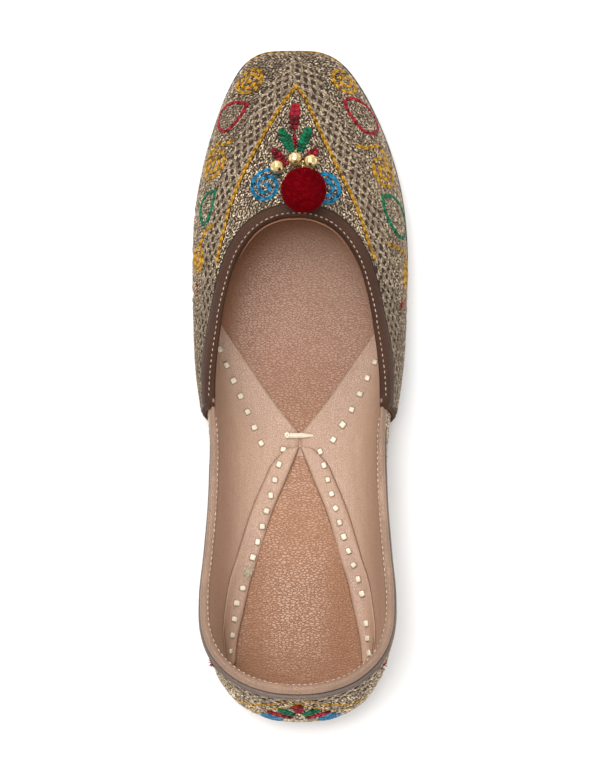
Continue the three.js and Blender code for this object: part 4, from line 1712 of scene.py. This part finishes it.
class MOJARI_OT_heel(bpy.types.Operator):
    """The motifs on the back of the heel, the cord under the piping, and the loose ends at the sides"""

    bl_idname = "mojari.heel"
    bl_label = "Heel motifs"

    def execute(self, context):
        chance = np.random.default_rng(13)
        tree = surface_tree("quarter_cloth")
        width = mm("chain_width")
        works = {name: Work() for name in ("mustard", "blue")}
        plump = {name: Work() for name in ("red", "green")}

        def spot(away, below):
            ray = LAST_RAY + away
            return quarter_point(ray, wall_length(ray) - below)

        def chain(name, curve, share):
            links_along(works[name], curve, tree, chance, width * share)

        def scroll(name, ray, height, radius, side):
            centre, out = settle(tree, quarter_point([ray], [height]))
            up = unit(np.array(UP) - out[0] * out[0][2])
            share = np.linspace(0, 1, 80)
            angle = side * (0.4 + share * 2.2 * 2 * math.pi)
            chain(name, coil(centre, np.cross(up, out[0]), up, angle, 0.7 + (radius - 0.7) * share), 0.9)

        def leaf(name, base, tip, wide):
            leaf_stitches(plump[name], tree, spot(*base), spot(*tip), wide, 5, chance)

        slope = (HEEL_FOOT - HEEL_APEX) / HEEL_RAYS
        for side in SIDES:
            legs = np.linspace(0, HEEL_RAYS, 40)
            chain("mustard", spot(side * legs, HEEL_APEX + slope * legs), 0.72)
            inner = np.linspace(0, HEEL_RAYS - 0.55, 30)
            chain("mustard", spot(side * inner, HEEL_APEX + 4.5 + slope * inner), 0.62)
        rays = np.linspace(12.2, ROUND - 12.2, 300)
        for height in (wall_length(rays) - 4.2 - 2.6 * collar_share(rays), 4.0):
            chain("mustard", quarter_point(rays, height), 0.66)
        leaf("red", (0.0, 20.5), (0.0, 13.5), 3.6)
        for side in SIDES:
            leaf("green", (side * 0.12, 22.5), (side * 0.62, 18.0), 3.2)
            leaf("red", (side * 0.2, 25.5), (side * 1.0, 22.0), 2.8)
            middle = LAST_RAY + side * 0.95
            scroll("blue", middle, float(wall_length(middle)) - 29.0, 4.6, side)
            for ray, height, radius in ((13.4, 15.0, 4.4), (15.9, 16.5, 4.6)):
                scroll("mustard", ray if side > 0 else ROUND - ray, height, radius, side)
        make_silks("heel_chain", works, template(chain_link()))
        make_silks("heel_leaves", plump, template(grain(7, 6)))
        self.tufts(chance)
        return {"FINISHED"}

    @staticmethod
    def tufts(chance):
        """Short loose ends of red thread."""
        ends = Work()
        for ray, height in TUFTS:
            if abs(ray) < WING_RAY:
                centre = on_cloth([(ray, height)])
            else:
                folded = ray if ray > 0 else ROUND + ray
                centre = quarter_point([folded], [height])
            out = wall_normal(np.array([float(ray)]), up_at([ray], [height]))
            count = 16
            level = unit(np.cross(UP, out[0]))
            lean = (
                out[0] * chance.uniform(0.5, 1.0, (count, 1))
                + level * chance.normal(0, 0.6, (count, 1))
                + np.array(UP) * chance.normal(0.1, 0.5, (count, 1))
            )
            length = chance.uniform(0.9, 2.4, count)
            where = centre + level * chance.normal(0, 0.9, (count, 1)) + unit(lean) * length[:, None] * 0.42
            side = np.cross(unit(lean), level + 0.01)
            ends.add(where, lean, side, sized(length, 0.3, 0.3), chance.uniform(0.3, 0.9, count))
        ends.make("thread_ends", template(grain(4, 4)), silk("red"))


# ---- Pompom and beads ----
# Slow waves over the pompom, each as an axis and a rate.
POMPOM_LUMPS = (((3, 1, 2), 4.0), ((-1, 4, 1), 3.3), ((2, -2, 3), 5.1))


def centre_of(name):
    low, high = (np.array(corner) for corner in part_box(name))
    return (low + high) / 2, float(np.mean(high - low)) / 2


def wool_material():
    made, tree, surface, place = blank_material("Pompom wool")
    clump, slow = noise(tree, place, 520.0, 4.0, 0.7), noise(tree, place, 130.0, 2.0)
    tint = colour("wool")
    deep = mixed(tree, spread_to(tree, clump, 0.35, 0.65), shaded(tint, 0.55), shaded(tint, 1.25))
    tree.links.new(mixed(tree, slow, deep, (*tint, 1)), surface.inputs["Base Color"])
    surface.inputs["Roughness"].default_value = 0.85
    surface.inputs["Specular IOR Level"].default_value = 0.04
    surface.inputs["Sheen Weight"].default_value = 0.02
    surface.inputs["Sheen Roughness"].default_value = 0.4
    surface.inputs["Sheen Tint"].default_value = (0.9, 0.02, 0.04, 1)
    raised(tree, surface, clump, 0.8, 0.35)
    return made


def gold_material():
    made, tree, surface, place = blank_material("Bead gold")
    tarnish = noise(tree, place, 420.0, 5.0)
    tint = colour("gold")
    mask = spread_to(tree, tarnish, 0.42, 0.68)
    tree.links.new(mixed(tree, mask, (*tint, 1), shaded(tint, 0.72)), surface.inputs["Base Color"])
    tree.links.new(spread_to(tree, tarnish, 0.3, 0.7, 0.16, 0.34), surface.inputs["Roughness"])
    surface.inputs["Metallic"].default_value = 1.0
    raised(tree, surface, tarnish, 0.25, 0.05)
    return made


class MOJARI_OT_ornament(bpy.types.Operator):
    """The clipped wool pompom, its three faceted beads and the small rings that hold them"""

    bl_idname = "mojari.ornament"
    bl_label = "Pompom and beads"

    def execute(self, context):
        chance = np.random.default_rng(17)
        wool = wool_material()
        centre, radius = centre_of("pompom")
        fibre = mm("fibre") * MM
        bm = bmesh.new()
        bmesh.ops.create_icosphere(bm, subdivisions=5, radius=radius - fibre * 0.55)
        for vert in bm.verts:
            way = vert.co.normalized()
            vert.co *= 1 + 0.006 * sum(math.sin(way.dot(Vector(axis)) * rate) for axis, rate in POMPOM_LUMPS)
        bmesh.ops.translate(bm, verts=bm.verts, vec=centre)
        finish_piece("pompom_core", mesh_from("pompom_core", bm), wool, ("pompom",))
        count = 5200
        ways = unit(chance.normal(size=(count, 3)))
        pile = Work()
        length = fibre / MM * chance.uniform(0.75, 1.2, count)
        lean = unit(ways + chance.normal(0, 0.28, (count, 3)))
        base = to_last(centre) + ways * ((radius - fibre * 0.62) / MM + length * 0.3)[:, None]
        side = np.cross(lean, ways + (0.3, 0.1, 0.2))
        pile.add(base, lean, side, sized(length, 0.3, 0.3), chance.uniform(0, 1, count))
        pile.make("pompom_pile", template(grain(3, 3)), wool, "pompom_wool")
        self.beads(centre)
        return {"FINISHED"}

    def beads(self, pompom):
        gold = gold_material()
        beads = {}
        for name in ("bead_left", "bead_middle", "bead_right"):
            centre, radius = centre_of(name)
            beads[name] = centre
            bm = bmesh.new()
            bmesh.ops.create_icosphere(bm, subdivisions=2, radius=radius * 1.06)
            worn = {"affect": "EDGES", "profile": 0.5, "material": -1}
            bmesh.ops.bevel(bm, geom=bm.edges[:], offset=radius * 0.05, segments=1, **worn)
            swung(bm, UP, Vector(pompom - centre).normalized())
            bmesh.ops.translate(bm, verts=bm.verts, vec=centre)
            bmesh.ops.recalc_face_normals(bm, faces=bm.faces)
            finish_piece(f"{name}_faceted", mesh_from(name, bm), gold, (name,), smooth=False)
        tree = surface_tree("vamp_cloth")
        rings = bmesh.new()
        left, middle, right = (beads[name] for name in ("bead_left", "bead_middle", "bead_right"))
        spots = (
            (left * 0.52 + middle * 0.18 + pompom * 0.30, 1.25, (1, 0.3, 0.6)),
            (left * 0.62 + pompom * 0.38, 1.2, (0.4, 1, 0.5)),
            (middle * 0.66 + pompom * 0.34, 1.2, (1, 0.2, 0.4)),
            (middle * 0.5 + right * 0.5, 1.15, (0.2, 1, 0.7)),
            (right * 0.7 + pompom * 0.3, 1.15, (1, 0.5, 0.5)),
        )
        for spot, size, axis in spots:
            place, out, _, _ = tree.find_nearest(Vector(spot))
            join(rings, self.ring(place + out * size * MM, size * MM, 0.34 * MM, Vector(axis).normalized()))
        finish_piece("bead_rings", mesh_from("bead_rings", rings, 0), gold)

    @staticmethod
    def ring(centre, radius, wire, axis):
        """A closed wire ring, spun from one round section."""
        bm = bmesh.new()
        bmesh.ops.create_circle(bm, cap_ends=False, segments=8, radius=wire)
        swung(bm, UP, (0, 1, 0))
        bmesh.ops.translate(bm, verts=bm.verts, vec=(radius, 0, 0))
        whole = {"cent": (0, 0, 0), "axis": (0, 0, 1), "angle": 2 * math.pi, "steps": 20, "use_merge": True}
        bmesh.ops.spin(bm, geom=bm.verts[:] + bm.edges[:], **whole)
        swung(bm, UP, axis)
        bmesh.ops.translate(bm, verts=bm.verts, vec=centre)
        bmesh.ops.recalc_face_normals(bm, faces=bm.faces)
        return bm


# ---- The stage ----
def lamp(name, place, aim, size, power, tint):
    light = bpy.data.lights.new(name, "AREA")
    light.shape = "RECTANGLE"
    light.size, light.size_y = size
    light.energy = power
    light.color = tint
    holder = bpy.data.objects.new(name, light)
    holder.location = place
    holder.rotation_euler = (Vector(aim) - Vector(place)).to_track_quat("-Z", "Y").to_euler()
    bpy.context.scene.collection.objects.link(holder)


class MOJARI_OT_stage(bpy.types.Operator):
    """The pale floor, the soft lights and the camera over the shoe"""

    bl_idname = "mojari.stage"
    bl_label = "Stage"

    def execute(self, context):
        scene = context.scene
        bm = bmesh.new()
        bmesh.ops.create_grid(bm, x_segments=8, y_segments=8, size=3.0)
        floor = bpy.data.objects.new("floor", mesh_from("floor", bm, 0))
        paper, tree, surface, place = blank_material("Floor paper")
        tooth = mixed(tree, noise(tree, place, 900.0, 3.0), (0.9, 0.9, 0.9, 1), (0.94, 0.94, 0.94, 1))
        tree.links.new(tooth, surface.inputs["Base Color"])
        surface.inputs["Roughness"].default_value = 0.9
        floor.data.materials.append(paper)
        scene.collection.objects.link(floor)

        lamp("overhead", (0.35, -0.25, 1.5), (0, 0, 0), (1.1, 1.1), 15.0, (1.0, 0.985, 0.96))
        lamp("satin", (0.07, 0.02, 1.5), (0, 0.06, 0), (0.3, 0.5), 3.6, (1.0, 0.99, 0.97))
        lamp("front", (0.2, -1.3, 0.9), (0, 0, 0), (1.2, 0.8), 7.0, (1.0, 0.99, 0.97))
        lamp("back", (-0.5, 1.3, 1.0), (0, 0, 0), (1.2, 0.8), 7.0, (1.0, 0.985, 0.965))
        world = bpy.data.worlds.new("Studio")
        world.use_nodes = True
        sky = world.node_tree.nodes["Background"]
        sky.inputs["Color"].default_value = (1.0, 1.0, 1.0, 1)
        sky.inputs["Strength"].default_value = 0.75
        scene.world = world
        scene.view_settings.view_transform = "Standard"

        view = bpy.data.cameras.new("camera")
        view.sensor_fit = "VERTICAL"
        view.sensor_height = 24.0
        view.lens = 114.7
        holder = bpy.data.objects.new("camera", view)
        holder.location = (-0.059, 0.1706, 1.3896)
        back = (holder.location - Vector((0.0, 0.0, 0.005))).normalized()
        level = Vector((-1.0, 0.0, 0.0))
        level = (level - back * level.dot(back)).normalized()
        holder.rotation_euler = Matrix((level, back.cross(level), back)).transposed().to_euler()
        scene.collection.objects.link(holder)
        scene.camera = holder
        return {"FINISHED"}


# ---- Panel and registration ----
PIECES = (
    MOJARI_OT_stage,
    MOJARI_OT_cloth,
    MOJARI_OT_lining,
    MOJARI_OT_footbed,
    MOJARI_OT_sole,
    MOJARI_OT_bindings,
    MOJARI_OT_strips,
    MOJARI_OT_seams,
    MOJARI_OT_ground,
    MOJARI_OT_motifs,
    MOJARI_OT_heel,
    MOJARI_OT_ornament,
)


class MOJARI_PT_panel(bpy.types.Panel):
    bl_idname = "MOJARI_PT_panel"
    bl_label = "Mojari Shoe"
    bl_space_type = "VIEW_3D"
    bl_region_type = "UI"
    bl_category = "Mojari"

    def draw(self, context):
        for group in (context.scene.mojari_sizes, context.scene.mojari_colours):
            box = self.layout.box()
            for name in type(group).__annotations__:
                box.prop(group, name)
        for piece in PIECES:
            self.layout.operator(piece.bl_idname)


CLASSES = (MojariSizes, MojariColours, *PIECES, MOJARI_PT_panel)


def register():
    for cls in CLASSES:
        bpy.utils.register_class(cls)
    bpy.types.Scene.mojari_sizes = PointerProperty(type=MojariSizes)
    bpy.types.Scene.mojari_colours = PointerProperty(type=MojariColours)


def unregister():
    del bpy.types.Scene.mojari_colours
    del bpy.types.Scene.mojari_sizes
    for cls in reversed(CLASSES):
        bpy.utils.unregister_class(cls)


def main():
    register()
    for piece in PIECES:
        group, _, name = piece.bl_idname.partition(".")
        getattr(getattr(bpy.ops, group), name)()


if __name__ == "__main__":
    main()
